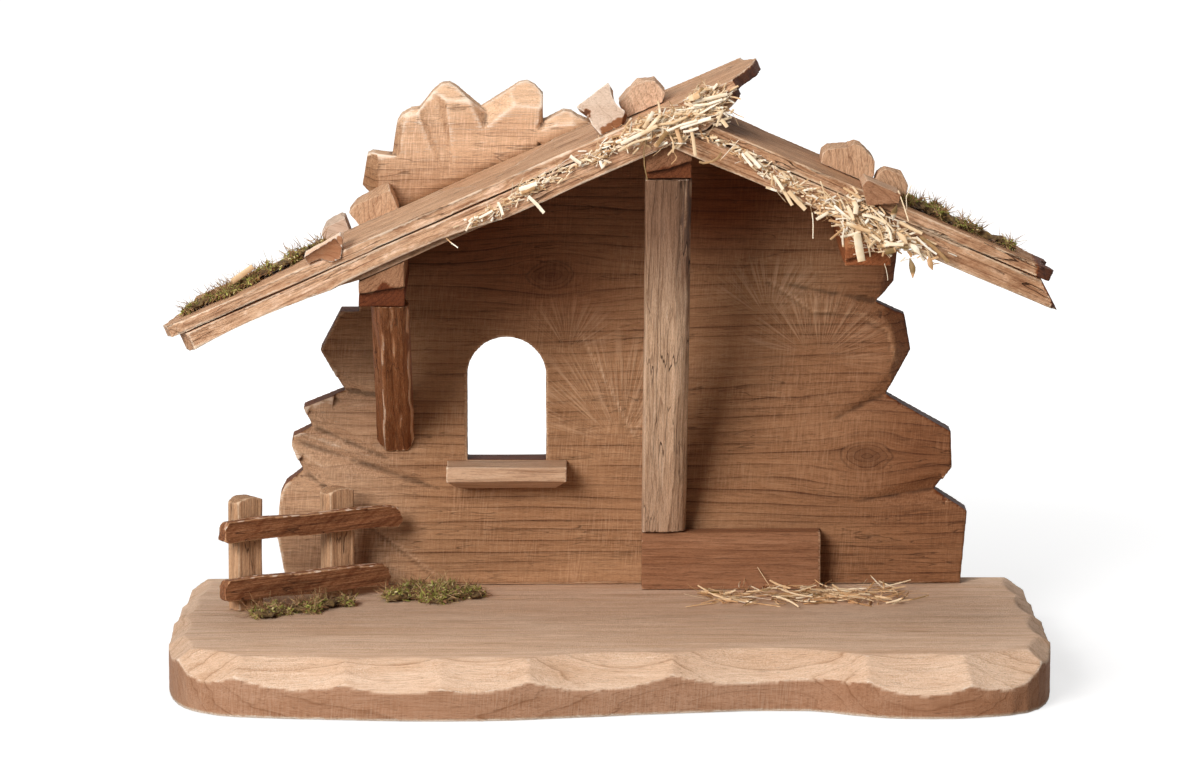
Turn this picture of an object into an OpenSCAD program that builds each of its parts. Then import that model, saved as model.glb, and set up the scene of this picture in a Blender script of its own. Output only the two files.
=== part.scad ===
// A small display stable of carved softwood: a base board with a gouged edge, a carved back wall
// with a crest and an arched window, three beam stubs with knee braces, and a plank roof.
// X runs to the right, Y to the back and Z up. The origin is the middle of the base's underside.

/* [Base board] */
// Width of the base board
base_w = 306; // [270:1:340]
// Depth of the base board
base_d = 146; // [135:1:170]
// Thickness of the base board
base_t = 19.5; // [15:0.5:26]
// Run of the carved bevel, in from the edge
bevel_run = 12; // [6:0.5:16]
// Height of the carved bevel
bevel_h = 8.5; // [5:0.5:11]
// Radius of the gouge that cut the bevel
gouge_r = 95; // [70:1:130]

/* [Back wall] */
// Width of the back wall's silhouette
wall_w = 250; // [235:1:262]
// Thickness of the back wall
wall_t = 12; // [9:0.5:15]
// Height of the roof's underside at the ridge, above the base
ridge_h = 169.5; // [162:0.5:185]
// Width of the arched window
window_w = 28; // [20:0.5:30]
// Height of the window's straight sides
window_side_h = 30.5; // [24:0.5:34]
// Height of the window's bottom above the base
window_up = 45.5; // [42:0.5:50]
// Depth of the V-cuts at the silhouette's notches
valley_sink = 3.2; // [1.5:0.1:5]

/* [Roof] */
// Pitch of the left slope, in degrees
pitch_left = 23.8; // [21:0.1:25.5]
// Pitch of the right slope, in degrees
pitch_right = 23.3; // [21:0.1:25.5]
// Reach of the roof in front of the wall
roof_reach = 84.5; // [72:0.5:92]
// Length of the left boards from the ridge to the eave
left_len = 181; // [168:0.5:190]
// Length of the right lower board from the ridge to the eave
right_len = 144.5; // [136:0.5:156]
// Thickness of the left lower board
left_lower_t = 8.2; // [6:0.1:10]
// Thickness of the right lower board
right_lower_t = 8; // [6:0.1:10]
// Thickness of the upper boards
upper_t = 4.4; // [3.5:0.1:7]
// Length of the left lower board past the ridge
lower_past = 30.5; // [20:0.5:32]
// Length of the left upper board past the ridge
upper_past = 39; // [35:0.5:45]

/* [Beams and braces] */
// Width of the beam stubs
beam_w = 16; // [12:0.5:18]
// Height of the purlins at their middle
purlin_h = 12.6; // [10:0.2:16]
// Height of the ridge beam at its middle
ridge_beam_h = 12; // [10:0.2:16]
// Setback of the beams' front ends from the roof's front
beam_setback = 4.5; // [2:0.5:9]
// Thickness of the knee braces
brace_t = 12; // [9:0.5:14]
// Height of the left brace's foot above the base
left_foot_up = 48.5; // [40:0.5:56]
// Height of the sill beam
sill_beam_h = 20.5; // [16:0.5:24]
// Length of the sill beam
sill_beam_len = 64; // [54:1:84]

/* [Fence] */
// Angle of the fence to the wall, in degrees
fence_turn = 35; // [30:1:40]
// Distance between the fence's posts
post_pitch = 38.5; // [34:0.5:42]
// Height of the left fence post
left_post_h = 40; // [36:0.5:44]
// Height of the right fence post
right_post_h = 39; // [35:0.5:43]
// Length of the upper fence rail
rail_len = 75; // [68:0.5:78]
// Height of the fence rails
rail_h = 8.6; // [6.5:0.2:10]

/* [Hidden] */
$fn = 48;

// Clearances and overruns
glue = 0.1;         // glue line between two faces
over = 3;           // how far a cutter passes the face that it cuts
far = 400;          // half size of a cutter that clears the whole object

// Finishes
stained = "peru";
shaded = "sienna";
grey_wood = "tan";
moss_green = "olivedrab";
straw_pale = "wheat";
steel = "silver";

// Levels and planes that several pieces share
wall_inset = 0.5;
wall_back = base_d / 2 - wall_inset;
wall_front = wall_back - wall_t;
roof_front = wall_front - roof_reach;
beam_front = roof_front + beam_setback;
ridge_x = 20.2;
ridge_z = base_t + ridge_h;
half_w = base_w / 2;
half_d = base_d / 2;
half_wall = wall_w / 2;

// Height of the roof's underside at a place along X
function under_roof(x) = x < ridge_x
    ? ridge_z + (x - ridge_x) * tan(pitch_left)
    : ridge_z - (x - ridge_x) * tan(pitch_right);

// Corner cutting rounds an open line of points and keeps its two ends
cut_share = 0.25;
function cut_corners(p) = concat([p[0]],
    [for (i = [0 : len(p) - 2], s = [cut_share, 1 - cut_share]) p[i] + (p[i + 1] - p[i]) * s],
    [p[len(p) - 1]]);
function rounded(p, rounds) = rounds < 1 ? p : rounded(cut_corners(p), rounds - 1);

// Points given as shares of a width and a height
function scaled(shares, w, h) = [for (s = shares) [s[0] * w, s[1] * h]];

// Frames whose XY plane lies on a slope's underside, with X along the pitch and the ridge at 0
module on_left(lift = 0) {
    translate([ridge_x, 0, ridge_z]) rotate([0, -pitch_left, 0]) translate([0, 0, lift])
        children();
}
module on_right(lift = 0) {
    translate([ridge_x, 0, ridge_z]) rotate([0, pitch_right, 0]) translate([0, 0, lift])
        children();
}

// An outline drawn as seen from the front, extruded from one plane to another
module front_slice(y_from, y_to) {
    translate([0, y_to, 0]) rotate([90, 0, 0]) linear_extrude(y_to - y_from) children();
}

// Base board: the front is a wavy saw cut, and the corners are round
base_front_shares = [[-0.98, 1], [-0.995, 0.3], [-1, -0.5], [-0.91, -0.88], [-0.68, -0.96],
    [-0.48, -1], [-0.29, -1.01], [-0.07, -0.93], [0.18, -0.84], [0.44, -0.78], [0.58, -0.96],
    [0.78, -0.99], [0.955, -0.85], [1, -0.4], [0.99, 0.3], [0.985, 1]];
base_rounds = 2;
// Each gouge stroke: its place on the edge, and the way it heads in degrees
gouge_shares = [[-0.73, -0.94, 88], [-0.5, -0.98, 92], [-0.27, -0.99, 88], [0.02, -0.88, 92],
    [0.34, -0.795, 89], [0.66, -0.93, 92], [0.88, -0.88, 112], [-0.93, -0.8, 55],
    [-1.02, -0.5, 12], [-1.03, -0.1, 2], [-1.025, 0.35, -3], [-1.01, 0.8, -2],
    [1.02, -0.55, 164], [1.03, -0.12, 179], [1.02, 0.36, 183], [1.01, 0.82, 181]];
bevel_slope = atan2(bevel_h, bevel_run);
stroke_len = 34;

module gouge_stroke(x, y, heading) {
    translate([x, y, base_t - bevel_h]) rotate([0, 0, heading]) rotate([0, -bevel_slope, 0])
        translate([-stroke_len / 2, 0, gouge_r]) rotate([0, 90, 0])
            cylinder(r = gouge_r, h = stroke_len);
}

module base_board() {
    color(stained) difference() {
        linear_extrude(base_t)
            polygon(rounded(scaled(base_front_shares, half_w, half_d), base_rounds));
        for (g = gouge_shares) gouge_stroke(g[0] * half_w, g[1] * half_d, g[2]);
        for (x = screw_places) translate([x, screw_y, 0]) {
            translate([0, 0, -over]) cylinder(d = screw_d + screw_play, h = base_t + 2 * over);
            translate([0, 0, -over]) cylinder(d = head_bore_d, h = over + screw_sink);
            translate([0, 0, screw_sink])
                cylinder(d1 = head_bore_d, d2 = screw_d + screw_play, h = screw_head_h);
        }
    }
}

// Screws that hold the wall from below, countersunk flush with the underside
screw_d = 3.5;
screw_head_d = 7;
screw_head_h = 2.6;
screw_len = 38;
screw_play = 0.3;
screw_sink = 0.4;
head_bore_d = screw_head_d + 2 * screw_play;
screw_y = wall_front + wall_t / 2;
screw_places = [for (s = [-0.72, -0.08, 0.76]) s * half_wall];

module wall_screws() {
    color(steel) for (x = screw_places) translate([x, screw_y, screw_sink]) {
        cylinder(d1 = screw_head_d, d2 = screw_d, h = screw_head_h);
        cylinder(d = screw_d, h = screw_len);
    }
}

// Back wall: points in shares of its half width and of the ridge's height. The plain body stays
// inside the carved lobes, which overlap it and each other
left_flank_shares = [[-0.92, 0], [-0.948, 0.11], [-0.936, 0.195], [-0.922, 0.217],
    [-0.872, 0.245], [-0.904, 0.298], [-0.9, 0.318], [-0.844, 0.339], [-0.869, 0.381],
    [-0.749, 0.416], [-0.819, 0.504], [-0.76, 0.587], [-0.708, 0.587]];
body_top_shares = [[-0.669, 0.832], [-0.6, 0.87], [-0.3, 0.93], [0, 0.95]];
right_flank_shares = [[0.76, 0.83], [0.755, 0.6], [0.765, 0.42], [0.798, 0.406],
    [0.985, 0.327], [0.989, 0.251], [0.938, 0.202], [1.033, 0.157], [1.028, 0.109],
    [1.016, 0]];

// Each lobe has an outline, and then the inner edges of its bevels in a convex line with the
// silhouette on its left-hand side
lobe_shares = [
    [[[-0.669, 0.832], [-0.697, 0.85], [-0.682, 0.917], [-0.666, 0.922], [-0.56, 0.912],
        [-0.5, 0.8]],
        [[-0.652, 0.83], [-0.65, 0.93]]],
    [[[-0.625, 0.85], [-0.596, 0.986], [-0.584, 1], [-0.556, 1.012], [-0.49, 1.017],
        [-0.45, 0.86]],
        [[-0.597, 0.88], [-0.58, 0.978], [-0.566, 0.999], [-0.52, 1.006]]],
    [[[-0.59, 0.962], [-0.494, 1.049], [-0.47, 1.064], [-0.446, 1.066], [-0.427, 1.058],
        [-0.29, 0.973], [-0.35, 0.85], [-0.55, 0.85]],
        [[-0.5, 1.036], [-0.391, 1.032], [-0.351, 0.97]]],
    [[[-0.43, 0.981], [-0.249, 1.066], [-0.226, 1.069], [-0.204, 1.06], [-0.181, 1.042],
        [-0.181, 0.93], [-0.35, 0.85]],
        [[-0.351, 0.97], [-0.263, 1.023], [-0.19, 1.016], [-0.199, 0.96]]],
    [[[-0.23, 0.968], [-0.124, 1.008], [-0.1, 1.005], [-0.083, 0.996], [0, 0.97],
        [-0.1, 0.88]],
        [[-0.2, 0.967], [-0.143, 0.981], [-0.101, 0.982], [-0.05, 0.965]]],
    [[[0.6, 0.6], [0.6, 0.83], [0.832, 0.83], [0.832, 0.72], [0.819, 0.645], [0.7, 0.55]],
        [[0.797, 0.83], [0.786, 0.662], [0.76, 0.61]]],
    [[[0.6, 0.4], [0.64, 0.646], [0.851, 0.574], [0.87, 0.498], [0.76, 0.357]],
        [[0.74, 0.608], [0.807, 0.556], [0.822, 0.508], [0.79, 0.412]]]];
lobe_slope = 1;         // fall of a bevel into the wall, per length
lobe_reach = 3 * wall_t;

// Scoops: from the silhouette to the place where the gouge came out of the wood, then the gouge's
// radius and depth in shares of the wall's thickness
scoop_shares = [[-0.59, 1.003, -0.446, 0.858, 0.5, 0.14], [-0.512, 1.062, -0.446, 0.858, 0.7, 0.2]];
// Valleys: from a notch to the place where the V-cut runs out
valley_shares = [[-0.872, 0.245, -0.72, 0.16], [-0.844, 0.339, -0.59, 0.258],
    [-0.749, 0.416, -0.6, 0.4], [-0.902, 0.311, -0.424, 0.191],
    [0.766, 0.603, 0.471, 0.649], [0.798, 0.406, 0.62, 0.345], [0.938, 0.202, 0.68, 0.175]];
valley_spread = 2.1;    // half width of a valley per depth

function wall_point(s) = [s[0] * half_wall, base_t + s[1] * ridge_h];
function heading(a, b) = atan2(b[1] - a[1], b[0] - a[0]);

// A frame on the wall's front face, with X from a to b and Y into the wood
module along_wall(a, b) {
    translate([a[0], wall_front, a[1]]) rotate([0, -heading(a, b), 0]) children();
}

// A bar along X whose section is drawn in the YZ plane
module bar(length, start = 0) {
    translate([start, 0, 0]) rotate([90, 0, 90]) linear_extrude(length) children();
}

module valley_cut(a, b) {
    length = norm(b - a);
    rise = valley_sink + over;
    along_wall(a, b) translate([0, valley_sink, 0])
        rotate([0, 0, -atan2(valley_sink, length)]) bar(length + 2 * over, -over)
            polygon([[0, 0], [-rise, rise * valley_spread], [-rise, -rise * valley_spread]]);
}

module scoop(a, b, r, sink) {
    length = norm(b - a);
    along_wall(a, b) translate([0, sink, 0]) rotate([0, 0, -atan2(sink, length)])
        translate([-r, -r, 0]) rotate([0, 90, 0]) cylinder(r = r, h = length + 2 * r);
}

module bevel_cut(a, b) {
    along_wall(a, b) bar(norm(b - a) + 2 * lobe_reach, -lobe_reach)
        polygon([[0, 0], [-over, 0], [-over, lobe_reach], [lobe_reach * lobe_slope, lobe_reach]]);
}

module lobe(outline, edges) {
    difference() {
        front_slice(wall_front, wall_back) polygon([for (s = outline) wall_point(s)]);
        for (i = [1 : len(edges) - 1]) bevel_cut(wall_point(edges[i - 1]), wall_point(edges[i]));
    }
}

window_x = -0.287 * half_wall;
window_bottom = base_t + window_up;

module window_outline() {
    translate([window_x, window_bottom + window_side_h]) circle(d = window_w);
    translate([window_x - window_w / 2, window_bottom]) square([window_w, window_side_h]);
}

module wall_body() {
    outline = concat(left_flank_shares, body_top_shares);
    front_slice(wall_front, wall_back) polygon(concat([for (s = outline) wall_point(s)],
        [[ridge_x, ridge_z]], [for (s = right_flank_shares) wall_point(s)]));
}

module back_wall() {
    color(stained) difference() {
        union() {
            wall_body();
            for (carved = lobe_shares) lobe(carved[0], carved[1]);
        }
        front_slice(wall_front - over, wall_back + over) {
            window_outline();
            polygon([[ridge_x, ridge_z - glue], [far, under_roof(far) - glue], [far, far],
                [ridge_x, far]]);
            translate([-far, base_t + glue - far]) square([2 * far, far]);
        }
        for (v = valley_shares) valley_cut(wall_point([v[0], v[1]]), wall_point([v[2], v[3]]));
        for (v = scoop_shares) scoop(wall_point([v[0], v[1]]), wall_point([v[2], v[3]]),
            v[4] * wall_t, v[5] * wall_t);
        for (x = screw_places) translate([x, screw_y, 0])
            cylinder(d = screw_d + screw_play, h = screw_len + screw_sink + screw_play);
        for (d = dowel_places) dowel_bore(d);
    }
}

// Window sill: a ledge block with a tapered underside
ledge_w = 43;
ledge_h = 9;
ledge_reach = 14;
ledge_nose = 5.5;
ledge_taper = 4;

module window_sill() {
    color(grey_wood) translate([window_x - ledge_w / 2, wall_front - glue, window_bottom])
        intersection() {
            bar(ledge_w) polygon([[0, 0], [-ledge_reach, 0], [-ledge_reach, -ledge_nose],
                [-ledge_reach / 2, -ledge_h], [0, -ledge_h]]);
            front_slice(-2 * ledge_reach, over) polygon([[0, 0], [0, -ledge_nose],
                [ledge_taper, -ledge_h], [ledge_w - ledge_taper, -ledge_h],
                [ledge_w, -ledge_nose], [ledge_w, 0]]);
        }
}

// Sill beam: a squared timber at the foot of the wall
sill_beam_t = 10;
sill_beam_x = ridge_x - beam_w / 2;
sill_wane = 2.5;

module sill_beam() {
    color(shaded) translate([sill_beam_x, wall_front - glue - sill_beam_t, base_t + glue])
        bar(sill_beam_len) polygon([[0, 0], [sill_beam_t, 0], [sill_beam_t, sill_beam_h],
            [sill_wane, sill_beam_h], [0, sill_beam_h - sill_wane]]);
}

// Beam stubs: glued and dowelled to the wall, with their tops planed to the roof
left_purlin_x = -0.626 * half_wall;
right_purlin_x = 0.708 * half_wall;
break_sink = 2.2;       // how far the split lower part of a beam's end stands back
dowel_d = 6;
dowel_len = 17;
dowel_in_wall = 8;
dowel_play = 0.1;

// The places of the dowels: beam centre, and height below the roof
dowel_drop = 7.2;
dowel_places = [for (x = [left_purlin_x, ridge_x, right_purlin_x])
    [x, under_roof(x) - dowel_drop]];

module dowel_bore(place) {
    translate([place[0], wall_front + dowel_in_wall + dowel_play, place[1]])
        rotate([90, 0, 0]) cylinder(d = dowel_d + 2 * dowel_play, h = dowel_len + 2 * dowel_play);
}

module beam_dowels() {
    color(grey_wood) for (d = dowel_places)
        translate([d[0], wall_front + dowel_in_wall, d[1]]) rotate([90, 0, 0])
            cylinder(d = dowel_d, h = dowel_len);
}

function beam_bottom(x, h) = under_roof(x) - h;

module beam(x, h, break_share) {
    low = beam_bottom(x, h);
    left = x - beam_w / 2;
    right = x + beam_w / 2;
    crown = x == ridge_x ? [[ridge_x, under_roof(ridge_x) - glue]] : [];
    difference() {
        front_slice(beam_front, wall_front - glue) polygon(concat([[left, low], [right, low],
            [right, under_roof(right) - glue]], crown, [[left, under_roof(left) - glue]]));
        front_slice(beam_front - over, beam_front + break_sink) polygon([[left - over, low - over],
            [right + over, low - over], [right + over, low + h * break_share[1]],
            [x, low + h * break_share[2]], [left - over, low + h * break_share[0]]]);
        dowel_bore([x, under_roof(x) - dowel_drop]);
    }
}

module ridge_beam() {
    color(shaded) beam(ridge_x, ridge_beam_h, [0.15, 0.62, 0.3]);
}
module left_purlin() {
    color(shaded) beam(left_purlin_x, purlin_h, [0.3, 0.62, 0.48]);
}
module right_purlin() {
    color(shaded) beam(right_purlin_x, purlin_h, [0.1, 0.7, 0.35]);
}

// Knee braces: riven sticks that lean from the wall up to the beams' front ends
brace_setback = 0.8;
centre_brace_w = 16;
left_brace_w = 13.4;
left_brace_x = left_purlin_x + 0.17 * beam_w;
brace_foot_y = wall_front - glue - sill_beam_t + 0.05 * sill_beam_t;
// Sections in shares of width and thickness, from the front face to the back
centre_section_shares = [[-0.5, 0.06], [-0.46, 0], [0.2, 0], [0.42, 0.14], [0.5, 0.3],
    [0.5, 0.9], [0.4, 1], [-0.42, 1], [-0.5, 0.92]];
left_section_shares = [[-0.5, 0.28], [-0.3, 0.02], [-0.12, 0], [0.3, 0.03], [0.42, 0.12],
    [0.5, 0.34], [0.48, 0.95], [0.4, 1], [-0.45, 1], [-0.5, 0.9]];

module brace(x, w, section_shares, top_z, foot_y, foot_z) {
    top_y = beam_front + brace_setback;
    lean = atan2(foot_y - top_y, top_z - foot_z);
    reach = norm([foot_y - top_y, top_z - foot_z]);
    intersection() {
        translate([x, top_y, top_z]) rotate([lean, 0, 0]) translate([0, 0, -reach - w])
            linear_extrude(reach + 2 * w) polygon(scaled(section_shares, w, brace_t));
        translate([x - w, top_y - over, foot_z])
            cube([2 * w, wall_front - glue - top_y + over, top_z - glue - foot_z]);
    }
}

module centre_brace() {
    color(grey_wood) brace(ridge_x, centre_brace_w, centre_section_shares,
        beam_bottom(ridge_x, ridge_beam_h), brace_foot_y, base_t + sill_beam_h + 2 * glue);
}
module left_brace() {
    color(shaded) brace(left_brace_x, left_brace_w, left_section_shares,
        beam_bottom(left_purlin_x, purlin_h), wall_front - glue, base_t + left_foot_up);
}

// Roof boards: waney outlines in shares of length and depth, drawn on the slope
board_front_shares = [[0.02, 0], [0.15, 0.012], [0.32, 0], [0.5, 0.014], [0.7, 0],
    [0.86, 0.01], [0.955, 0]];
left_lower_tip_shares = [[0.985, 0.03], [0.995, 0.12], [0.985, 0.3], [1, 0.45], [0.98, 0.7],
    [0.99, 1]];
left_lower_eave_shares = [[0.012, 1], [0.004, 0.7], [0.012, 0.5], [0, 0.3], [0.004, 0.1]];
left_upper_tip_shares = [[0.968, 0.07], [0.991, 0.19], [1, 0.33], [0.98, 0.43],
    [0.976, 0.57]];
// The rear edge of the left upper board has a deep hollow, where the log was split away
left_upper_rear_shares = [[0.85, 0.6], [0.75, 0.585], [0.655, 0.585], [0.6, 0.36],
    [0.555, 0.2], [0.525, 0.18], [0.49, 0.36], [0.45, 0.53], [0.3, 0.56], [0.15, 0.5],
    [0.022, 0.44]];
left_upper_eave_shares = [[0.02, 0.32], [0.004, 0.25], [-0.016, 0.12], [-0.007, 0.035]];

module left_board(past, lift, thick, shares) {
    on_left(lift) translate([-left_len, roof_front, 0]) linear_extrude(thick)
        polygon(scaled(shares, left_len + past, roof_reach - glue));
}

// Half of space, past a plane through a place on the slope
module past_plane(u, n, tilt) {
    translate([u, 0, n]) rotate([0, tilt, 0]) translate([0, -far, -far])
        cube([2 * far, 2 * far, 2 * far]);
}

tip_break_tilt = 71;
eave_break_tilt = 125;
// Hollows on the underside where the log's wane was left
wane_r = 300;
wane_sink = 2.4;
wane_front_at = -0.55 * left_len;
wane_eave_at = -0.84 * left_len;

module left_wane(u, y_from, y_to) {
    translate([u, y_to, wane_sink - wane_r]) rotate([90, 0, 0])
        cylinder(r = wane_r, h = y_to - y_from, $fn = 360);
}

module roof_left_lower() {
    color(stained) difference() {
        left_board(lower_past, 0, left_lower_t,
            concat(board_front_shares, left_lower_tip_shares, left_lower_eave_shares));
        on_left() past_plane(0.46 * lower_past, 0, tip_break_tilt);
        on_left() past_plane(-0.98 * left_len, 0, eave_break_tilt);
        on_left() left_wane(wane_front_at, roof_front - over, beam_front - glue);
        on_left() left_wane(wane_eave_at, roof_front - over, wall_back + over);
    }
}

module roof_left_upper() {
    color(stained) left_board(upper_past, left_lower_t + glue, upper_t,
        concat(board_front_shares, left_upper_tip_shares, left_upper_rear_shares,
            left_upper_eave_shares));
}

// The right boards pass over the wall and end under the left slope
right_reach = roof_reach + wall_t;
under_left = 20;        // how far the raw right boards run in under the left slope

module right_board(length, lift, thick, shares) {
    difference() {
        on_right(lift) translate([-under_left, roof_front, 0]) linear_extrude(thick)
            polygon(scaled(shares, length + under_left, right_reach));
        on_left(-glue) translate([-far, -far, 0]) cube([2 * far, 2 * far, far]);
    }
}

right_lower_shares = [[0, 0.004], [0.2, 0], [0.34, 0.012], [0.52, 0], [0.7, 0.01],
    [0.88, 0], [0.985, 0.006], [1, 0.05], [0.992, 0.16], [0.975, 0.24], [0.985, 0.36],
    [0.975, 0.55], [0.97, 0.66], [0.8, 0.74], [0.66, 0.95], [0.6, 1], [0, 1]];
right_break_tilt = -51;
right_break_share = 0.937;

module roof_right_lower() {
    color(stained) difference() {
        right_board(right_len, 0, right_lower_t, right_lower_shares);
        on_right(right_lower_t) past_plane(right_break_share * right_len, 0, right_break_tilt);
    }
}

right_upper_shares = [[0, 0.006], [0.18, 0.012], [0.36, 0], [0.55, 0.012], [0.72, 0.004],
    [0.88, 0.012], [0.965, 0.004], [0.995, 0.03], [1, 0.06], [0.975, 0.1], [0.97, 0.15],
    [0.99, 0.2], [0.985, 0.26], [0.82, 0.32], [0.62, 0.42], [0.44, 0.48], [0.36, 0.53],
    [0.3, 0.58], [0.2, 0.6], [0, 0.6]];
right_upper_len = 0.96 * right_len;

module roof_right_upper() {
    color(stained) right_board(right_upper_len, right_lower_t + glue, upper_t,
        right_upper_shares);
}

// Weights of cut wood on the roof. Each front outline is in shares of the block's width and
// height, and the block's top slopes away to the front and the back
left_top = left_lower_t + glue + upper_t + glue;
right_top = right_lower_t + glue + upper_t + glue;

module roof_block(size, outline_shares, slope_front, slope_back, ridge_share) {
    ridge_y = size[1] * ridge_share;
    foot = -size[2];
    intersection() {
        front_slice(0, size[1]) polygon(scaled(outline_shares, size[0], size[2]));
        bar(2 * size[0], -size[0] / 2) polygon([[0, foot], [size[1], foot],
            [size[1], size[2] - (size[1] - ridge_y) * slope_back], [ridge_y, size[2]],
            [0, size[2] - ridge_y * slope_front]]);
    }
}

// A slab astride the front edge of an upper board: it rests on top, and its lip hangs in front
module astride(lip) {
    difference() {
        translate([0, -lip, 0]) children();
        translate([-far, -glue, -far]) cube([2 * far, far, far]);
    }
}

left_block_size = [15, 14, 10.6];
left_block_shares = [[0, 0], [-0.11, 0.66], [0.13, 0.84], [0.83, 1], [1, 0.94], [1, 0.06],
    [0.8, 0]];
module left_block() {
    color(stained) on_left(left_lower_t + glue) translate([-0.627 * left_len,
        wall_front - glue - left_block_size[1], 0])
        roof_block(left_block_size, left_block_shares, 0.3, 0.2, 0.5);
}

left_slab_size = [15, 15, 6];
left_slab_shares = [[0, 0.04], [0, 0.58], [0.6, 0.78], [0.97, 0.95], [1, 0.66], [0.75, -0.42],
    [0.52, -0.4], [0.3, 0]];
slab_lip = 4;
left_slab_turn = 80;    // direction of the slab's round hollow, in degrees
module left_slab() {
    color(stained) on_left(left_top) translate([-0.713 * left_len, roof_front, 0])
        astride(slab_lip) difference() {
            roof_block(left_slab_size, left_slab_shares, 0.04, 0.2, 0.3);
            translate([0.4 * left_slab_size[0], -0.45 * left_slab_size[2],
                -0.1 * left_slab_size[2]]) rotate([0, left_slab_turn, 0])
                    cylinder(r = left_slab_size[2], h = left_slab_size[0], center = true);
        }
}

left_rear_size = [10, 12, 7];
left_rear_shares = [[0, 0], [-0.04, 0.5], [0.22, 0.85], [0.8, 1], [0.98, 0.8], [0.94, 0]];
module left_rear_slab() {
    color(grey_wood) on_left(left_lower_t + glue) translate([-0.702 * left_len,
        wall_front - glue - left_rear_size[1], 0])
        roof_block(left_rear_size, left_rear_shares, 0.2, 0.1, 0.6);
}

ridge_block_size = [16.2, 15, 10.8];
ridge_block_shares = [[0.05, 0], [0, 0.2], [0, 0.54], [0.57, 1], [0.91, 0.73], [1, 0.25],
    [0.86, 0]];
module ridge_block() {
    color(stained) on_left(left_top)
        translate([-0.058 * left_len, roof_front + 0.2 * roof_reach, 0])
            roof_block(ridge_block_size, ridge_block_shares, 0.25, 0.3, 0.4);
}

// A slice of root wood with hollow sides that leans back, with its foot cut to the roof
ridge_slab_size = [15.2, 5, 17];
ridge_slab_shares = [[0.3, -0.1], [0.7, -0.1], [1, 0.3], [0.88, 1], [0, 0.8]];
ridge_slab_hollow_r = 11;
slab_lean = 30;
module ridge_slab() {
    color(grey_wood) on_left(left_top)
        translate([-0.132 * left_len, roof_front + 0.03 * roof_reach, 0]) intersection() {
            rotate([-slab_lean, 0, 0]) difference() {
                front_slice(0, ridge_slab_size[1])
                    polygon(scaled(ridge_slab_shares, ridge_slab_size[0], ridge_slab_size[2]));
                front_slice(-over, ridge_slab_size[1] + over) {
                    translate([-0.52 * ridge_slab_size[0], 0.36 * ridge_slab_size[2]])
                        circle(r = 0.95 * ridge_slab_hollow_r);
                    translate([1.49 * ridge_slab_size[0], 0.66 * ridge_slab_size[2]])
                        circle(r = 0.9 * ridge_slab_hollow_r);
                }
            }
            translate([-far, -far, 0]) cube([2 * far, 2 * far, far]);
        }
}

right_block_size = [19.5, 15, 11.7];
right_block_shares = [[0.04, 0], [0, 0.3], [0.07, 0.5], [0.37, 0.75], [0.44, 0.98],
    [0.54, 1], [0.8, 0.8], [0.91, 0.68], [1, 0.28], [0.94, 0]];
right_block_u = 0.354 * right_len;
block_gap = 0.6;        // gap between the two right blocks
slab_gap = 2;           // gap between the right slab and the block behind it
module right_block() {
    color(stained) on_right(right_top)
        translate([right_block_u, roof_front + right_slab_size[1] + 2.25 * slab_gap, 0])
            roof_block(right_block_size, right_block_shares, 0.12, 0.3, 0.4);
}

right_rear_size = [12, 10, 8.6];
right_rear_shares = [[0, 0], [0, 0.55], [0.13, 0.85], [0.6, 1], [0.95, 0.6], [1, 0.2],
    [0.95, 0]];
module right_rear_block() {
    color(stained) on_right(right_top)
        translate([right_block_u + right_block_size[0] + block_gap,
            roof_front + right_slab_size[1] + slab_gap, 0])
            roof_block(right_rear_size, right_rear_shares, 0.25, 0.35, 0.4);
}

right_slab_size = [14, 20, 4.2];
right_slab_shares = [[0, 0.3], [0.05, 0.9], [0.15, 1], [0.95, 1], [1, 0.2], [0.35, -0.95],
    [0.28, -0.95]];
right_slab_u = 0.452 * right_len;
module right_slab() {
    color(stained) on_right(right_top) translate([right_slab_u, roof_front, 0])
        astride(slab_lip) roof_block(right_slab_size, right_slab_shares, 0.03, 0.05, 0.4);
}

// Fence: two riven posts and two split rails, set at an angle on the base
fence_x = -0.834 * half_w;
fence_y = 0.3 * half_d;
post_w = 12.5;
post_t = 8;
rail_t = 4.6;
rail_upper_up = 25.5;
rail_lower_up = 2;
rail_tilt = -2;
rail_start = 14;        // how far the rails pass the left post
rail_end_share = 0.93;

module on_fence() {
    translate([fence_x, fence_y, base_t + glue]) rotate([0, 0, fence_turn]) children();
}

post_shares = [[-0.5, -0.3], [-0.42, -0.5], [0.36, -0.46], [0.5, -0.2], [0.47, 0.4],
    [0.2, 0.5], [-0.3, 0.48], [-0.5, 0.2]];

// The rounded top is a cylinder across the post, so the post's foot is a plain prism
module fence_post(h) {
    linear_extrude(h - post_w) polygon(scaled(post_shares, post_w, post_t));
    translate([0, 0, h - post_w]) intersection() {
        linear_extrude(post_w) polygon(scaled(post_shares, post_w, post_t));
        rotate([90, 0, 0]) translate([0, 0, -post_w]) cylinder(r = post_w, h = 2 * post_w);
    }
}

module fence_post_left() {
    color(stained) on_fence() fence_post(left_post_h);
}
module fence_post_right() {
    color(stained) on_fence() translate([post_pitch, 0, 0]) fence_post(right_post_h);
}

rail_shares = [[0, 0.12], [0.03, 0], [0.3, 0.05], [0.55, 0], [0.8, 0.06], [0.98, 0.02],
    [1, 0.3], [0.985, 0.75], [0.96, 0.95], [0.7, 1], [0.45, 0.93], [0.2, 0.98], [0.02, 0.9],
    [0, 0.6]];

module rail(length, up) {
    on_fence() translate([-rail_start, -post_t / 2 - glue, up]) rotate([0, -rail_tilt, 0])
        front_slice(-rail_t, 0) polygon(scaled(rail_shares, length, rail_h));
}

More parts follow.
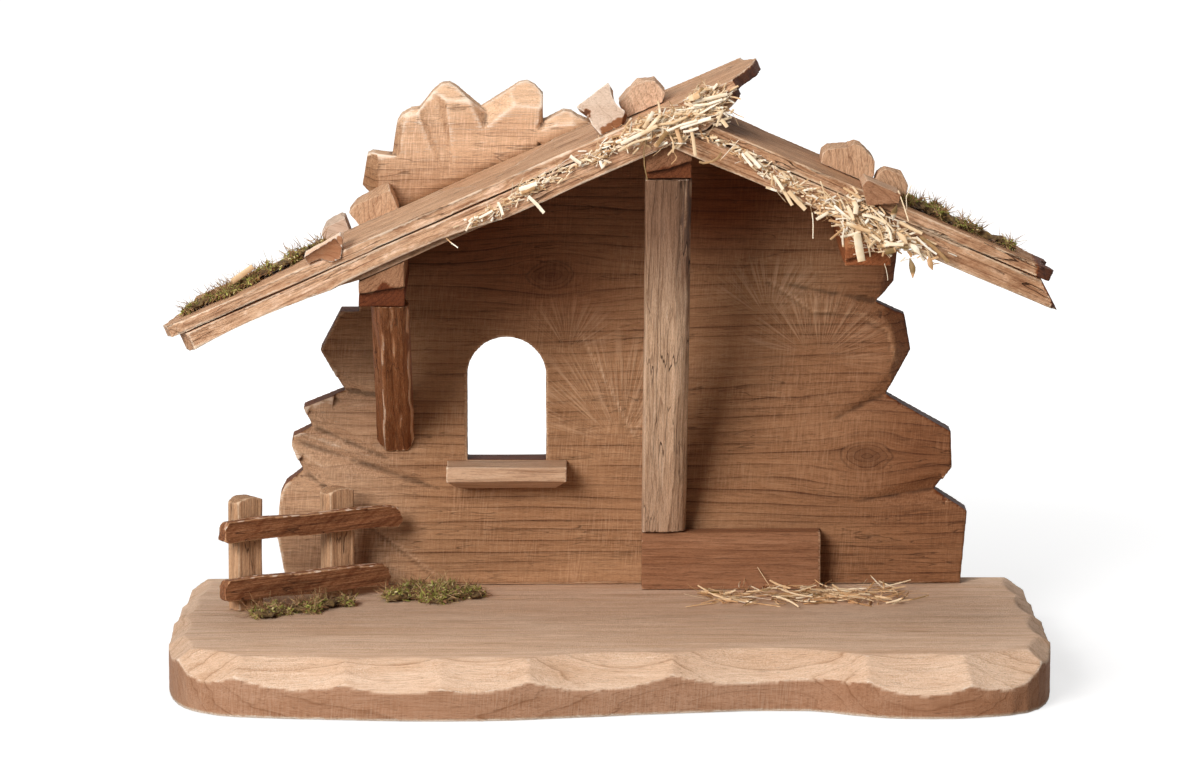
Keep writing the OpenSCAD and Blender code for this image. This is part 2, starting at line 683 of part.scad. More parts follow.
module fence_rail_upper() {
    color(shaded) rail(rail_len, rail_upper_up);
}
module fence_rail_lower() {
    color(shaded) rail(rail_len * rail_end_share, rail_lower_up + rail_len * sin(-rail_tilt));
}

// Moss: pads of small cushions. Each row is a place and a radius, in shares of the pad's length
moss_lift = 0.1;
moss_sides = 9;
moss_squash = 0.62;

module moss_cushion(r) {
    hull() {
        linear_extrude(r * moss_squash / 2) circle(r = r, $fn = moss_sides);
        linear_extrude(r * moss_squash) circle(r = r * moss_squash, $fn = moss_sides);
    }
}

module moss_pad(length, rows) {
    for (m = rows) translate([m[0] * length, m[1] * length, moss_lift])
        moss_cushion(m[2] * length);
}

left_moss_shares = [[0, 0, 0.1], [0.13, 0.06, 0.12], [0.27, 0, 0.12], [0.41, 0.07, 0.13],
    [0.55, 0.12, 0.13], [0.69, 0.13, 0.12], [0.8, 0.24, 0.12], [0.93, 0.3, 0.1]];
module moss_left_roof() {
    color(moss_green) on_left(left_top) translate([-0.95 * left_len, roof_front + post_w, 0])
        moss_pad(0.27 * left_len, left_moss_shares);
}

right_moss_shares = [[0, 0, 0.15], [0.2, 0.02, 0.16], [0.4, 0, 0.15], [0.6, 0.03, 0.13],
    [0.78, 0, 0.12], [0.92, 0.02, 0.1]];
module moss_right_roof() {
    color(moss_green) on_right(right_top)
        translate([0.6 * right_len, roof_front + post_w, 0])
            moss_pad(0.26 * right_len, right_moss_shares);
}

fence_moss_shares = [[0, 0, 0.15], [0.22, 0.06, 0.16], [0.45, -0.02, 0.16], [0.68, 0.05, 0.15],
    [0.88, 0, 0.12]];
module moss_fence() {
    color(moss_green) on_fence() translate([-0.1 * post_pitch, -2.2 * post_t, 0])
        moss_pad(post_pitch, fence_moss_shares);
}

wall_moss_shares = [[0, 0.05, 0.2], [0.2, 0.3, 0.22], [0.42, 0, 0.24], [0.5, 0.34, 0.2],
    [0.75, 0.16, 0.2]];
moss_wall_x = fence_x + (rail_len - rail_start) * cos(fence_turn) + post_t / 3;
module moss_wall_foot() {
    color(moss_green) translate([moss_wall_x, wall_front - 2.2 * post_w, base_t])
        moss_pad(0.9 * post_pitch, wall_moss_shares);
}

// Straw: mats of flat strips. A golden step spreads the strips without a pattern
golden = 0.618034;
straw_w = 1.5;
straw_t = 0.8;
straw_len = 24;
straw_play = 0.3;       // gap between the straw and the slab that hangs over it
straw_scatter = 70;     // spread of the strips' directions, in degrees

function spread(i, seed) = (i * golden + seed) % 1 - 0.5;

module straw_mat(count, length, width, turn, seed) {
    linear_extrude(straw_t) for (i = [1 : count])
        translate([length * (i - 0.5) / count, width * spread(i * i, seed)])
            rotate(turn + straw_scatter * spread(i, seed)) square([straw_len * (0.8 + spread(3 * i, seed)),
                straw_w * (1 + spread(7 * i, seed))], center = true);
}

// A frame on the front faces of a slope's boards, with Y up the faces and Z to the front
module straw_on_left_front(u, up) {
    on_left(up) translate([u, roof_front - glue, 0]) rotate([90, 0, 0]) children();
}
module straw_on_right_front(u, up) {
    on_right(up) translate([u, roof_front - glue, 0]) rotate([90, 0, 0]) children();
}

module straw_left_roof() {
    color(straw_pale) straw_on_left_front(-0.52 * left_len, 0.75 * left_lower_t)
        straw_mat(16, 0.34 * left_len, 0.7 * left_lower_t, 0, 0.31);
}

module straw_ridge() {
    color(straw_pale) straw_on_left_front(-0.06 * left_len, 1.1 * left_lower_t)
        straw_mat(16, 0.75 * upper_past, 1.4 * left_lower_t, 0, 0.74);
}

module straw_right_roof() {
    color(straw_pale) difference() {
        straw_on_right_front(0.16 * right_len, 0.8 * right_lower_t)
            straw_mat(22, 0.56 * right_len, right_lower_t, -4, 0.17);
        on_right(right_lower_t - straw_play) translate([right_slab_u - straw_play,
            roof_front - far, 0]) cube([right_slab_size[0] + 2 * straw_play, far, far]);
    }
}

module straw_ground() {
    color(straw_pale) translate([0.3 * half_wall, wall_front - 2.6 * post_w, base_t + glue])
        straw_mat(18, 0.55 * half_wall, post_w, 0, 0.52);
}

base_board();
back_wall();
window_sill();
sill_beam();
ridge_beam();
left_purlin();
right_purlin();
centre_brace();
left_brace();
roof_left_lower();
roof_left_upper();
roof_right_lower();
roof_right_upper();
left_block();
left_slab();
left_rear_slab();
ridge_block();
ridge_slab();
right_block();
right_rear_block();
right_slab();
fence_post_left();
fence_post_right();
fence_rail_upper();
fence_rail_lower();
wall_screws();
beam_dowels();
moss_left_roof();
moss_right_roof();
moss_fence();
moss_wall_foot();
straw_left_roof();
straw_ridge();
straw_right_roof();
straw_ground();
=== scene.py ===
# %% [markdown]
# # A carved wooden stable
# The CAD model gives every board, beam and block its place and size. This file turns them into
# stained wood, dried moss and straw. It works in metres, in the CAD model's own frame: X runs to
# the right, Y to the back wall and Z up, with the middle of the base's underside at the origin.

# %% Load the frame
import math
import random

import bmesh
import bpy
import numpy as np
from mathutils import Matrix, Vector, noise
from mathutils.bvhtree import BVHTree


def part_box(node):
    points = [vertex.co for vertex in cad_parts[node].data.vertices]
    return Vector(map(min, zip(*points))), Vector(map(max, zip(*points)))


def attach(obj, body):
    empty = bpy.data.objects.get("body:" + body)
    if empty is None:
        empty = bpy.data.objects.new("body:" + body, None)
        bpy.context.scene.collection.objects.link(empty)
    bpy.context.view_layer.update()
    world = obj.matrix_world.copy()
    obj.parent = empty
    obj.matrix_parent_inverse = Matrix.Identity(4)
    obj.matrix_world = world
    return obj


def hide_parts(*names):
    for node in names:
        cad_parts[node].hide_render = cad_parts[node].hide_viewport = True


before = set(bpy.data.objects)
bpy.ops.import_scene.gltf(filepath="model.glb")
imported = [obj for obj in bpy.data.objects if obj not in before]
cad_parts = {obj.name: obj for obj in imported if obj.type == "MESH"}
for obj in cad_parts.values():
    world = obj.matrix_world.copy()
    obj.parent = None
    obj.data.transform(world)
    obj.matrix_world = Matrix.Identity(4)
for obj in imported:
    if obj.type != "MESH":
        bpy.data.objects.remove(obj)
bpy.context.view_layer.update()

# %% [markdown]
# The camera is a long lens, 2 m away and about 10 degrees above the level of the base, so the
# top of the base shows and the roof's boards are seen from their front edges. It comes first.

# %% Camera
CAMERA_AT = (-0.02432, -2.02013, 0.45317)
LOOK_DOWN, LOOK_RIGHT = 9.8327, 0.6  # degrees
scene = bpy.context.scene


def add_object(name, data):
    """A new object in the scene that shows the given data."""
    made = bpy.data.objects.new(name, data)
    scene.collection.objects.link(made)
    return made


lens = bpy.data.cameras.new("long_lens")
lens.sensor_width = 36.0
lens.lens = 177.42
lens.clip_end = 50.0
camera = add_object("camera", lens)
camera.location = CAMERA_AT
camera.rotation_euler = (math.radians(90 - LOOK_DOWN), 0, math.radians(-LOOK_RIGHT))
scene.camera = camera
print("camera at", tuple(camera.location))

# %% [markdown]
# Materials are built from nodes. Small helpers keep that readable: one turns a colour as a
# picture editor shows it into the light values that Blender mixes, and the others add a node,
# set it up and link it in a single line.

# %% Node helpers
def tint(red, green, blue):
    """A colour as a picture editor shows it, as linear values for Blender."""
    linear = [(c / 255 / 12.92) if c < 11 else ((c / 255 + 0.055) / 1.055) ** 2.4
              for c in (red, green, blue)]
    return (*linear, 1.0)


def put(tree, kind, inputs=None, **settings):
    """Adds a node. An input may be a number, a colour or another node's output."""
    made = tree.nodes.new("ShaderNode" + kind)
    for key, value in settings.items():
        setattr(made, key, value)
    for key, value in (inputs or {}).items():
        if isinstance(value, bpy.types.NodeSocket):
            tree.links.new(value, made.inputs[key])
        else:
            made.inputs[key].default_value = value
    return made


def maths(tree, operation, a, b=0.0, c=0.0):
    return put(tree, "Math", {0: a, 1: b, 2: c}, operation=operation).outputs[0]


def times(tree, a, b):
    return maths(tree, "MULTIPLY", a, b)


def vectors(tree, operation, a, b=(0.0, 0.0, 0.0)):
    """Vector maths. A length and a dot product are plain values."""
    made = put(tree, "VectorMath", {0: a, 1: b}, operation=operation)
    return made.outputs["Value" if operation in ("LENGTH", "DOT_PRODUCT") else 0]


def mapped(tree, vector, scale=(1, 1, 1), turn=(0, 0, 0), shift=(0, 0, 0)):
    return put(tree, "Mapping", {"Vector": vector, "Scale": scale, "Rotation": turn,
                                 "Location": shift}).outputs[0]


def level(tree, value, low, high, out_low=0.0, out_high=1.0):
    """Stretches the range from low to high over another range, and stops at its ends."""
    return put(tree, "MapRange", {0: value, 1: low, 2: high, 3: out_low,
                                  4: out_high}).outputs[0]


print("node helpers ready")

# %% [markdown]
# Colour is laid on in coats, as a painter would: each coat has a colour, and a value that says
# where it lies. A ramp turns one value into many colours.

# %% Colour helpers
def ramp(tree, factor, stops):
    """A colour ramp. Each stop is a place from 0 to 1 and a colour."""
    made = put(tree, "ValToRGB", {0: factor})
    marks = made.color_ramp.elements
    marks[0].position, marks[0].color = stops[0]
    marks[1].position, marks[1].color = stops[-1]
    for place, colour in stops[1:-1]:
        marks.new(place).color = colour
    return made.outputs[0]


def tints(*stops):
    """Stops for a ramp: each is a place and a colour as a picture editor shows it."""
    return [(place, tint(*colour)) for place, *colour in stops]


def blended(tree, factor, a, b, how="MIX"):
    made = put(tree, "Mix", {0: factor}, data_type="RGBA", blend_type=how)
    for socket, value in ((made.inputs[6], a), (made.inputs[7], b)):
        if isinstance(value, bpy.types.NodeSocket):
            tree.links.new(value, socket)
        else:
            socket.default_value = value
    return made.outputs[2]


def coat(tree, body, value, low, high, amount, colour):
    """Lays a colour over the body where a value goes from low to high."""
    return blended(tree, level(tree, value, low, high, 0.0, amount), body, colour)


print("colour helpers ready")

# %% [markdown]
# A material reads where it is on the piece, what the mesh has stored there, and noises. It ends
# in one surface shader, whose plain values are set on its own sockets so that an export keeps
# them.

# %% Material helpers
def object_place(tree):
    return put(tree, "TexCoord").outputs["Object"]


def stored(tree, name):
    return put(tree, "Attribute", attribute_name=name).outputs["Fac"]


def speckle(tree, scale, detail):
    """An even noise. A scale of 1000 makes specks of about a millimetre."""
    return put(tree, "TexNoise", {"Vector": object_place(tree), "Scale": scale,
                                  "Detail": detail}).outputs["Fac"]


def relief_of(tree, height, strength, depth):
    return put(tree, "Bump", {"Height": height, "Strength": strength,
                              "Distance": depth}).outputs[0]


def new_material(name):
    material = bpy.data.materials.new(name)
    material.use_nodes = True
    material.node_tree.nodes.clear()
    return material, material.node_tree


def close_material(tree, colour, roughness, normal=None, **plain):
    """Ends a material with one surface shader. Plain values are set on its own sockets."""
    shader = put(tree, "BsdfPrincipled", {"Base Color": colour, "Roughness": roughness})
    for key, value in plain.items():
        shader.inputs[key.replace("_", " ")].default_value = value
    if normal is not None:
        tree.links.new(normal, shader.inputs["Normal"])
    put(tree, "OutputMaterial", {"Surface": shader.outputs[0]})


print("material helpers ready")

# %% [markdown]
# ## Wood
# The whole stable is one kind of wood under a thin brown stain, so one recipe makes every wooden
# finish. It starts from millimetres along and across the grain. Every noise is then made of
# cells with a length and a width, as fibres and pores have, and a slow noise makes the grain
# sway, because no tree grows straight.

# %% Grain
MM = (1000, 1000, 1000)
# Noises: length and width of a cell in mm, detail, roughness, and a shift that keeps them apart
FIBRES = (16, 0.55, 6.0, 0.7)
GRIT = (1.1, 0.32, 3.0, 0.7, 5.0)
STAIN = (60, 9, 4.0, 0.62)
PORES = (4.5, 0.3, 2.0, 0.5, 9.0)
SAW_MARKS = (7, 0.45, 2.0, 0.5, 2.0)
SAW_PATCHES = (22, 16, 2.0, 0.5, 4.0)
CRACKS = (42, 3.0, 2.0, 0.5, 3.0)
CRACK_PATCHES = (30, 12, 1.0, 0.5, 6.0)
SLOW_SWAY = (110, 30)
RING_SWAY_LENGTH = 260


def along_grain(tree, centre, along):
    """Object coordinates in millimetres from a piece's centre, with X along its grain."""
    local = vectors(tree, "SUBTRACT", object_place(tree), centre)
    turn = Vector(along).rotation_difference(Vector((1, 0, 0))).to_euler()
    return mapped(tree, local, MM, turn)


def streaks(tree, place, length, width, detail, roughness, shift=0.0):
    """A noise in cells of the given length and width in millimetres."""
    cells = mapped(tree, place, (1 / length, 1 / width, 1 / width), shift=(shift,) * 3)
    return put(tree, "TexNoise", {"Vector": cells, "Scale": 1.0, "Detail": detail,
                                  "Roughness": roughness})


def noise_value(tree, place, cells):
    return streaks(tree, place, *cells).outputs["Fac"]


def sway_of(tree, place, amount, length, width):
    """Moves the grain about slowly, so that no line is straight or evenly spaced."""
    drift = streaks(tree, place, length, width, 3.0, 0.5).outputs["Color"]
    centred = vectors(tree, "SUBTRACT", drift, (0.5, 0.5, 0.5))
    moved = put(tree, "VectorMath", {0: centred, "Scale": 2 * amount}, operation="SCALE")
    return vectors(tree, "ADD", place, moved.outputs[0])


print("grain helpers ready")

# %% [markdown]
# Growth rings are rings about the tree's pith, stretched along the grain, so they draw long
# lines on a board's faces and arcs on its ends without any picture. A knot is a branch that the
# trunk grew round: it pushes the lines apart and has small rings and a dark core of its own.

# %% Rings and knots
KNOT_SHAPE = (0.6, 0.15, 1.0)
KNOT_PULL = 0.94
RING_STRETCH = 0.04
RING_WAVE = 0.314  # wave scale at which a ring is 1 mm wide
BLACK, WHITE = (0, 0, 0, 1), (1, 1, 1, 1)
LATE_WOOD = [(0.0, BLACK), (0.6, (0.05, 0.05, 0.05, 1)), (0.84, (0.3, 0.3, 0.3, 1)),
             (0.92, WHITE), (0.97, BLACK)]


def push_from_knot(tree, place, centre, size):
    """Bends the grain round a knot and returns the new place and the distance from it."""
    offset = vectors(tree, "SUBTRACT", place, centre)
    away = vectors(tree, "LENGTH", vectors(tree, "MULTIPLY", offset, KNOT_SHAPE))
    ratio = maths(tree, "DIVIDE", away, size)
    pull = maths(tree, "DIVIDE", KNOT_PULL, maths(tree, "MULTIPLY_ADD", ratio, ratio, 1.0))
    lift = vectors(tree, "MULTIPLY", offset, (0.0, 0.0, 1.0))
    drop = put(tree, "VectorMath", {0: lift, "Scale": pull}, operation="SCALE").outputs[0]
    return vectors(tree, "SUBTRACT", place, drop), away


def ring_lines(tree, place, pith, ring):
    """Growth rings about the pith, from 0 in early wood to 1 where late wood ends."""
    round_pith = mapped(tree, place, (RING_STRETCH, 1, 1), shift=(0, -pith[0], -pith[1]))
    wave = put(tree, "TexWave", {"Vector": round_pith, "Scale": RING_WAVE / ring},
               wave_type="RINGS", rings_direction="X", wave_profile="SAW")
    return wave.outputs["Fac"]


def knot_rings(tree, rings, away, size):
    """Puts a knot's own small rings in the place of the trunk's."""
    small = maths(tree, "FRACT", maths(tree, "DIVIDE", away, size * 0.17))
    core = level(tree, away, size * 0.62, size * 0.5)
    return put(tree, "Mix", {0: core, 2: rings, 3: small}).outputs[0]


def knot_colour(tree, body, stain, away, size, dark, deep):
    """A dark core and a thin ragged rim of bark."""
    body = coat(tree, body, away, size * 0.7, size * 0.3, 0.4, dark)
    ragged = maths(tree, "MULTIPLY_ADD", stain, -3.0, away)
    rim = maths(tree, "ABSOLUTE", maths(tree, "SUBTRACT", ragged, size * 0.62 - 1.5))
    return coat(tree, body, rim, 0.35, 0.1, 0.35, deep)


print("rings and knots ready")

# %% [markdown]
# Tools leave their marks too. The saw scored the boards across the grain, drying opened fine
# cracks along it, and the gouge cut fans of short strokes that start from one place.

# %% Tool marks
SAW_ANGLE = 86
FAN_WANDER = 0.035  # how fast a stroke changes along its length, per mm


def saw_marks(tree, grain, body, height, saw, worn, dark):
    """Pale and dark scores in patches. Returns the new colour and height."""
    slant = mapped(tree, grain, turn=(0, math.radians(SAW_ANGLE), 0))
    marks = noise_value(tree, slant, SAW_MARKS)
    patch = level(tree, noise_value(tree, grain, SAW_PATCHES), 0.42, 0.6, 0.15, saw)
    for low, high, colour in ((0.5, 0.7, worn), (0.48, 0.3, dark)):
        scores = times(tree, level(tree, marks, low, high), patch)
        body = blended(tree, times(tree, scores, 0.5), body, colour)
    return body, maths(tree, "MULTIPLY_ADD", marks, 0.8 * saw, height)


def open_cracks(tree, grain, place, body, height, cracks, deep):
    """Thin dark cracks where a slow noise crosses its middle value."""
    drift = noise_value(tree, place, CRACKS)
    line = maths(tree, "ABSOLUTE", maths(tree, "SUBTRACT", drift, 0.5))
    open_here = level(tree, noise_value(tree, grain, CRACK_PATCHES), 0.45, 0.6)
    split = times(tree, level(tree, line, 0.011, 0.003), open_here)
    body = blended(tree, times(tree, split, cracks), body, deep)
    return body, maths(tree, "MULTIPLY_ADD", split, -2.0 * cracks, height)


def gouge_fan(tree, grain, body, height, fan, worn):
    """Strokes that fan out from a place, towards a side, over a reach in mm."""
    centre, facing, reach, strokes = fan
    local = vectors(tree, "SUBTRACT", grain, centre)
    flat = mapped(tree, local, turn=(math.radians(-90), 0, 0))
    angle = put(tree, "TexGradient", {"Vector": flat}, gradient_type="RADIAL").outputs["Fac"]
    away = vectors(tree, "LENGTH", local)
    toward = vectors(tree, "DOT_PRODUCT", vectors(tree, "NORMALIZE", local), facing)
    key = put(tree, "CombineXYZ", {0: times(tree, angle, strokes),
                                   1: times(tree, away, FAN_WANDER)}).outputs[0]
    marks = put(tree, "TexNoise", {"Vector": key, "Scale": 1.0, "Detail": 3.0,
                                   "Roughness": 0.65}).outputs["Fac"]
    inside = times(tree, level(tree, toward, 0.3, 0.75), level(tree, away, reach, reach * 0.7))
    inside = times(tree, inside, level(tree, away, reach * 0.1, reach * 0.35))
    # The pale strokes are painted highlights where the cuts catch the light.
    lit = times(tree, inside, level(tree, marks, 0.47, 0.62))
    cut = times(tree, inside, level(tree, marks, 0.4, 0.6))
    body = blended(tree, times(tree, lit, 0.42), body, worn)
    return body, maths(tree, "MULTIPLY_ADD", cut, 1.3, height)


print("tool marks ready")

# %% [markdown]
# The stain comes last. Each mesh stores how much stain each point took, in "stain", and on the
# wall, the base, the middle brace and the sill beam it also holds painted shade and painted
# light: 0 is plain, 1 strong, 2 darkest, -1 thin and -2 bare wood. It also stores where the wood
# is convex, in "worn", because the carver's edges lost their stain, and where it is hollow,
# because stain gathers there.

# %% Stain, painted shade and wear
# Colours of the strong and the darkest coats. On the wall they also paint shade, and the strong
# one does so on the sill beam too.
STRONG_STAIN_AND_SHADE = (170, 124, 88)
DARKEST_STAIN_AND_SHADE = (64, 52, 50)
BARE_WOOD = (246, 226, 204)
THIN_GAIN = (2.05, 2.55, 3.25, 1.0)  # how much brighter thin stain leaves each channel


def stained(tree, body, stain_and_painted_shade, strong_stain_and_shade, darkest_stain_and_shade, worn):
    """Tones the wood by how much stain it took. On some pieces this also paints shade and light.
    """
    strong_wood = blended(tree, 1.0, body, tint(*strong_stain_and_shade), "MULTIPLY")
    body = coat(tree, body, stain_and_painted_shade, 0.0, 1.0, 1.0, strong_wood)
    body = coat(tree, body, stain_and_painted_shade, 1.0, 2.0, 0.9, tint(*darkest_stain_and_shade))
    thin_wood = blended(tree, 1.0, body, THIN_GAIN, "MULTIPLY")
    body = coat(tree, body, stain_and_painted_shade, 0.0, -1.0, 1.0, thin_wood)
    return coat(tree, body, stain_and_painted_shade, -1.0, -2.0, 0.8, worn)


def rubbed(tree, body, stain_and_painted_shade, fibres, grit, edge, worn, deep):
    """Darkens the hollows and brings pale wood back on the worn edges, in patches."""
    patchy = maths(tree, "MULTIPLY_ADD", maths(tree, "SUBTRACT", fibres, 0.5), 1.5,
                   stored(tree, "worn"))
    patchy = maths(tree, "MULTIPLY_ADD", maths(tree, "SUBTRACT", grit, 0.5), 0.8, patchy)
    patchy = maths(tree, "SUBTRACT", patchy, level(tree, stain_and_painted_shade, 0.2, 1.0, 0.0, 0.5))
    patchy = maths(tree, "ADD", patchy, level(tree, stain_and_painted_shade, -0.2, -0.7, 0.0, 0.4))
    body = coat(tree, body, stored(tree, "hollow"), 0.1, 0.6, 0.6, deep)
    bare = coat(tree, worn, stain_and_painted_shade, 0.0, -0.7, 1.0, tint(*BARE_WOOD))
    return coat(tree, body, patchy, *edge, 0.85, bare)


print("stain and wear ready")

# %% [markdown]
# The recipe puts these together. Its colours are four: dark for late wood and pores, mid and
# pale for the body, and worn for bare wood. What differs between two boards is given as plain
# numbers, such as how wide the rings are and how much saw marks show.

# %% The wood recipe
ROUGH = 0.65


def wood(name, colours, centre=(0, 0, 0), along=(1, 0, 0), ring=3.0, pith=(30, -90), sway=2.5,
         lines=0.6, fibre=0.5, blotch=0.6, saw=0.0, cracks=0.0, knots=(), fans=(), bump=0.5,
         edge=(0.4, 0.75), strong_stain_and_shade=STRONG_STAIN_AND_SHADE, darkest_stain_and_shade=DARKEST_STAIN_AND_SHADE):
    """Stained wood. The colours are dark, mid, pale and worn, as a picture editor shows them."""
    dark, mid, pale, worn = [tint(*c) for c in colours]
    deep = tint(*[0.6 * c for c in colours[0]])
    material, tree = new_material(name)
    grain = along_grain(tree, centre, along)
    place = sway_of(tree, grain, sway, *SLOW_SWAY)
    place = sway_of(tree, place, 0.9 * ring, RING_SWAY_LENGTH, 2.6 * ring)
    cores = []
    for x, z, size in knots:
        place, away = push_from_knot(tree, place, (x, 0, z), size)
        cores.append((away, size))
    stain_and_painted_shade = stored(tree, "stain")
    rings = ring_lines(tree, place, pith, ring)
    for away, size in cores:
        rings = knot_rings(tree, rings, away, size)
    late = ramp(tree, rings, LATE_WOOD)
    fibres, stain = noise_value(tree, place, FIBRES), noise_value(tree, place, STAIN)
    grit, pores = noise_value(tree, grain, GRIT), noise_value(tree, grain, PORES)
    line = times(tree, times(tree, late, level(tree, stain, 0.35, 0.62, 0.15, 1.25)), lines)
    line = times(tree, line, level(tree, stain_and_painted_shade, 0.0, -0.6, 1.0, 0.4))
    body = pale
    for value, low, high, amount, colour in (
            (stain, 0.33, 0.67, blotch, mid), (fibres, 0.48, 0.68, fibre, dark),
            (fibres, 0.44, 0.28, 0.75 * fibre, worn), (grit, 0.5, 0.7, 0.5 * fibre, dark),
            (grit, 0.46, 0.28, 0.4 * fibre, worn), (line, 0.0, 1.0, 1.0, dark),
            (pores, 0.6, 0.7, 0.4, deep)):
        body = coat(tree, body, value, low, high, amount, colour)
    for away, size in cores:
        body = knot_colour(tree, body, stain, away, size, dark, deep)
    height = maths(tree, "MULTIPLY_ADD", fibres, 0.9, times(tree, late, -0.3))
    height = maths(tree, "MULTIPLY_ADD", grit, 0.35, height)
    if saw:
        body, height = saw_marks(tree, grain, body, height, saw, worn, dark)
    if cracks:
        body, height = open_cracks(tree, grain, place, body, height, cracks, deep)
    for fan in fans:
        body, height = gouge_fan(tree, grain, body, height, fan, worn)
    body = stained(tree, body, stain_and_painted_shade, strong_stain_and_shade, darkest_stain_and_shade, worn)
    body = rubbed(tree, body, stain_and_painted_shade, fibres, grit, edge, worn, deep)
    gloss = level(tree, fibres, 0.3, 0.7, ROUGH - 0.08, ROUGH + 0.1)
    close_material(tree, body, gloss, relief_of(tree, height, bump, 0.0005),
                   Specular_IOR_Level=0.15)
    return material


def middle(node):
    """The middle of a node's box."""
    low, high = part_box(node)
    return tuple((a + b) / 2 for a, b in zip(low, high))


print("wood recipe ready")

# %% [markdown]
# ## Shaping
# A CAD solid has perfect planes and knife edges. Real carved softwood has rounded arrises, torn
# grain and small dents. Each wooden node is therefore copied and remeshed into cells of about a
# millimetre, which can hold such marks.

# %% Copies in fine cells
LARGEST_SCALE = 0.99  # the remesher's own limit


def solid_copy(node):
    """A merged copy of a CAD node's mesh as a new piece."""
    piece = add_object(node + "_piece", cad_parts[node].data.copy())
    piece.data.materials.clear()
    merged = bmesh.new()
    merged.from_mesh(piece.data)
    bmesh.ops.remove_doubles(merged, verts=merged.verts, dist=0.00001)
    merged.to_mesh(piece.data)
    merged.free()
    return piece


def recell(piece, cell):
    """Remeshes a piece into even cells that keep its sharp edges."""
    reach = max(piece.dimensions)
    depth = math.ceil(math.log2(reach / cell / LARGEST_SCALE))
    cells = piece.modifiers.new("cells", "REMESH")
    cells.mode = "SHARP"
    cells.octree_depth = depth
    cells.scale = reach / cell / 2 ** depth
    cells.use_remove_disconnected = False
    graph = bpy.context.evaluated_depsgraph_get()
    even = bpy.data.meshes.new_from_object(piece.evaluated_get(graph))
    piece.modifiers.clear()
    piece.data = even


print("copies ready")

# %% [markdown]
# The marks are worked out for all points of a mesh at once. An edge is found by its bend: a
# point that stands out from its neighbours is convex and gets worn, and one that lies behind
# them is hollow.

# %% Points, edges and noise
def points_of(mesh, what="co"):
    flat = np.empty(len(mesh.vertices) * 3, np.float32)
    if what == "co":
        mesh.vertices.foreach_get("co", flat)
    else:
        mesh.vertex_normals.foreach_get("vector", flat)
    return flat.reshape(-1, 3).astype(np.float64)


def move_points(mesh, place):
    mesh.vertices.foreach_set("co", place.astype(np.float32).ravel())
    mesh.update()


def press_in(mesh, depth):
    """Moves each vertex inwards by its own depth in metres."""
    move_points(mesh, points_of(mesh) - points_of(mesh, "normal") * np.maximum(depth, 0)[:, None])


def around(mesh, values):
    """The mean of each vertex's neighbours."""
    pairs = np.empty(len(mesh.edges) * 2, np.int32)
    mesh.edges.foreach_get("vertices", pairs)
    a, b = pairs[0::2], pairs[1::2]
    size = len(mesh.vertices)
    count = np.maximum(np.bincount(pairs, minlength=size), 1)
    columns = [np.bincount(a, values[b, k], size) + np.bincount(b, values[a, k], size)
               for k in range(values.shape[1])]
    return np.stack(columns, 1) / count[:, None]


def store(mesh, name, values):
    slot = mesh.attributes.new(name, "FLOAT", "POINT")
    slot.data.foreach_set("value", values.astype(np.float32))


def mark_edges(mesh, cell):
    """Stores where the wood is convex, as "worn", and where it is hollow."""
    place = points_of(mesh)
    bend = ((place - around(mesh, place)) * points_of(mesh, "normal")).sum(1) / cell
    bend = 0.35 * bend + 0.65 * around(mesh, bend[:, None])[:, 0]
    store(mesh, "worn", np.clip(bend * 3.6, 0, 1))
    store(mesh, "hollow", np.clip(-bend * 5, 0, 1))


def noise_at(points):
    return np.array([noise.noise(Vector(p)) for p in points])


def specks(place, scale):
    """An even noise. A scale of 1000 makes specks of about a millimetre."""
    return noise_at(Vector(p) * scale for p in place)


def grain_noise(place, along, stretch, size, seed):
    """Noise in cells of the given size in metres, stretched along the grain."""
    axis = np.array(Vector(along).normalized())
    run = place @ axis
    return noise_at((place - np.outer(run, axis) * (1 - 1 / stretch)) / size + seed * 7.31)


def fade(values, start, width):
    """Goes from 0 at the start to 1 over the width, or downwards where that is negative."""
    return np.clip((values - start) / width, 0, 1)


print("point tools ready")

# %% [markdown]
# One tool then carves any node: it softens the copy, presses torn fibres and dents in along the
# grain, and finishes it. Nothing is pushed outwards, so no piece outgrows its CAD solid.
# A stain rule is a function that is given all points and the directions they face, and returns
# how much stain each point took. On some pieces this also holds painted shade and painted light.

# %% Carving tool
SOFTEN = 0.3  # how far each point moves towards its neighbours
TEARS, DENTS, SPLITS = (14, 0.0022), (2.5, 0.014), (9, 0.0034)  # stretch, and size in metres
seeds = iter(range(1, 500))


def carve(node, material, cell=0.0011, along=(1, 0, 0), tear=0.00035, dent=0.0003,
          front_tear=0.0, slot="stained_wood", stain=None, cuts=None):
    """One wooden node: copied, remeshed, softened, pressed in and finished."""
    piece = solid_copy(node)
    recell(piece, cell)
    mesh = piece.data
    place = points_of(mesh)
    place = (1 - SOFTEN) * place + SOFTEN * around(mesh, place)
    move_points(mesh, place)
    if cuts:
        press_in(mesh, cuts(place, points_of(mesh, "normal")))
    mark_edges(mesh, cell)
    if stain:
        store(mesh, "stain", stain(place, points_of(mesh, "normal")))
    seed = next(seeds)
    depth = tear * np.clip(grain_noise(place, along, *TEARS, seed) + 0.15, 0, 1)
    depth += dent * np.clip(grain_noise(place, along, *DENTS, seed + 40) + 0.2, 0, 1)
    if front_tear:
        facing = np.clip(-points_of(mesh, "normal")[:, 1], 0, 1)
        splits = np.clip(grain_noise(place, along, *SPLITS, seed + 80) + 0.3, 0, 1)
        depth += front_tear * facing * splits
    press_in(mesh, depth)
    mesh.shade_smooth()
    mesh.materials.append(material)
    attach(piece, "root")
    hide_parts(node)
    print(node, len(mesh.polygons), "faces")


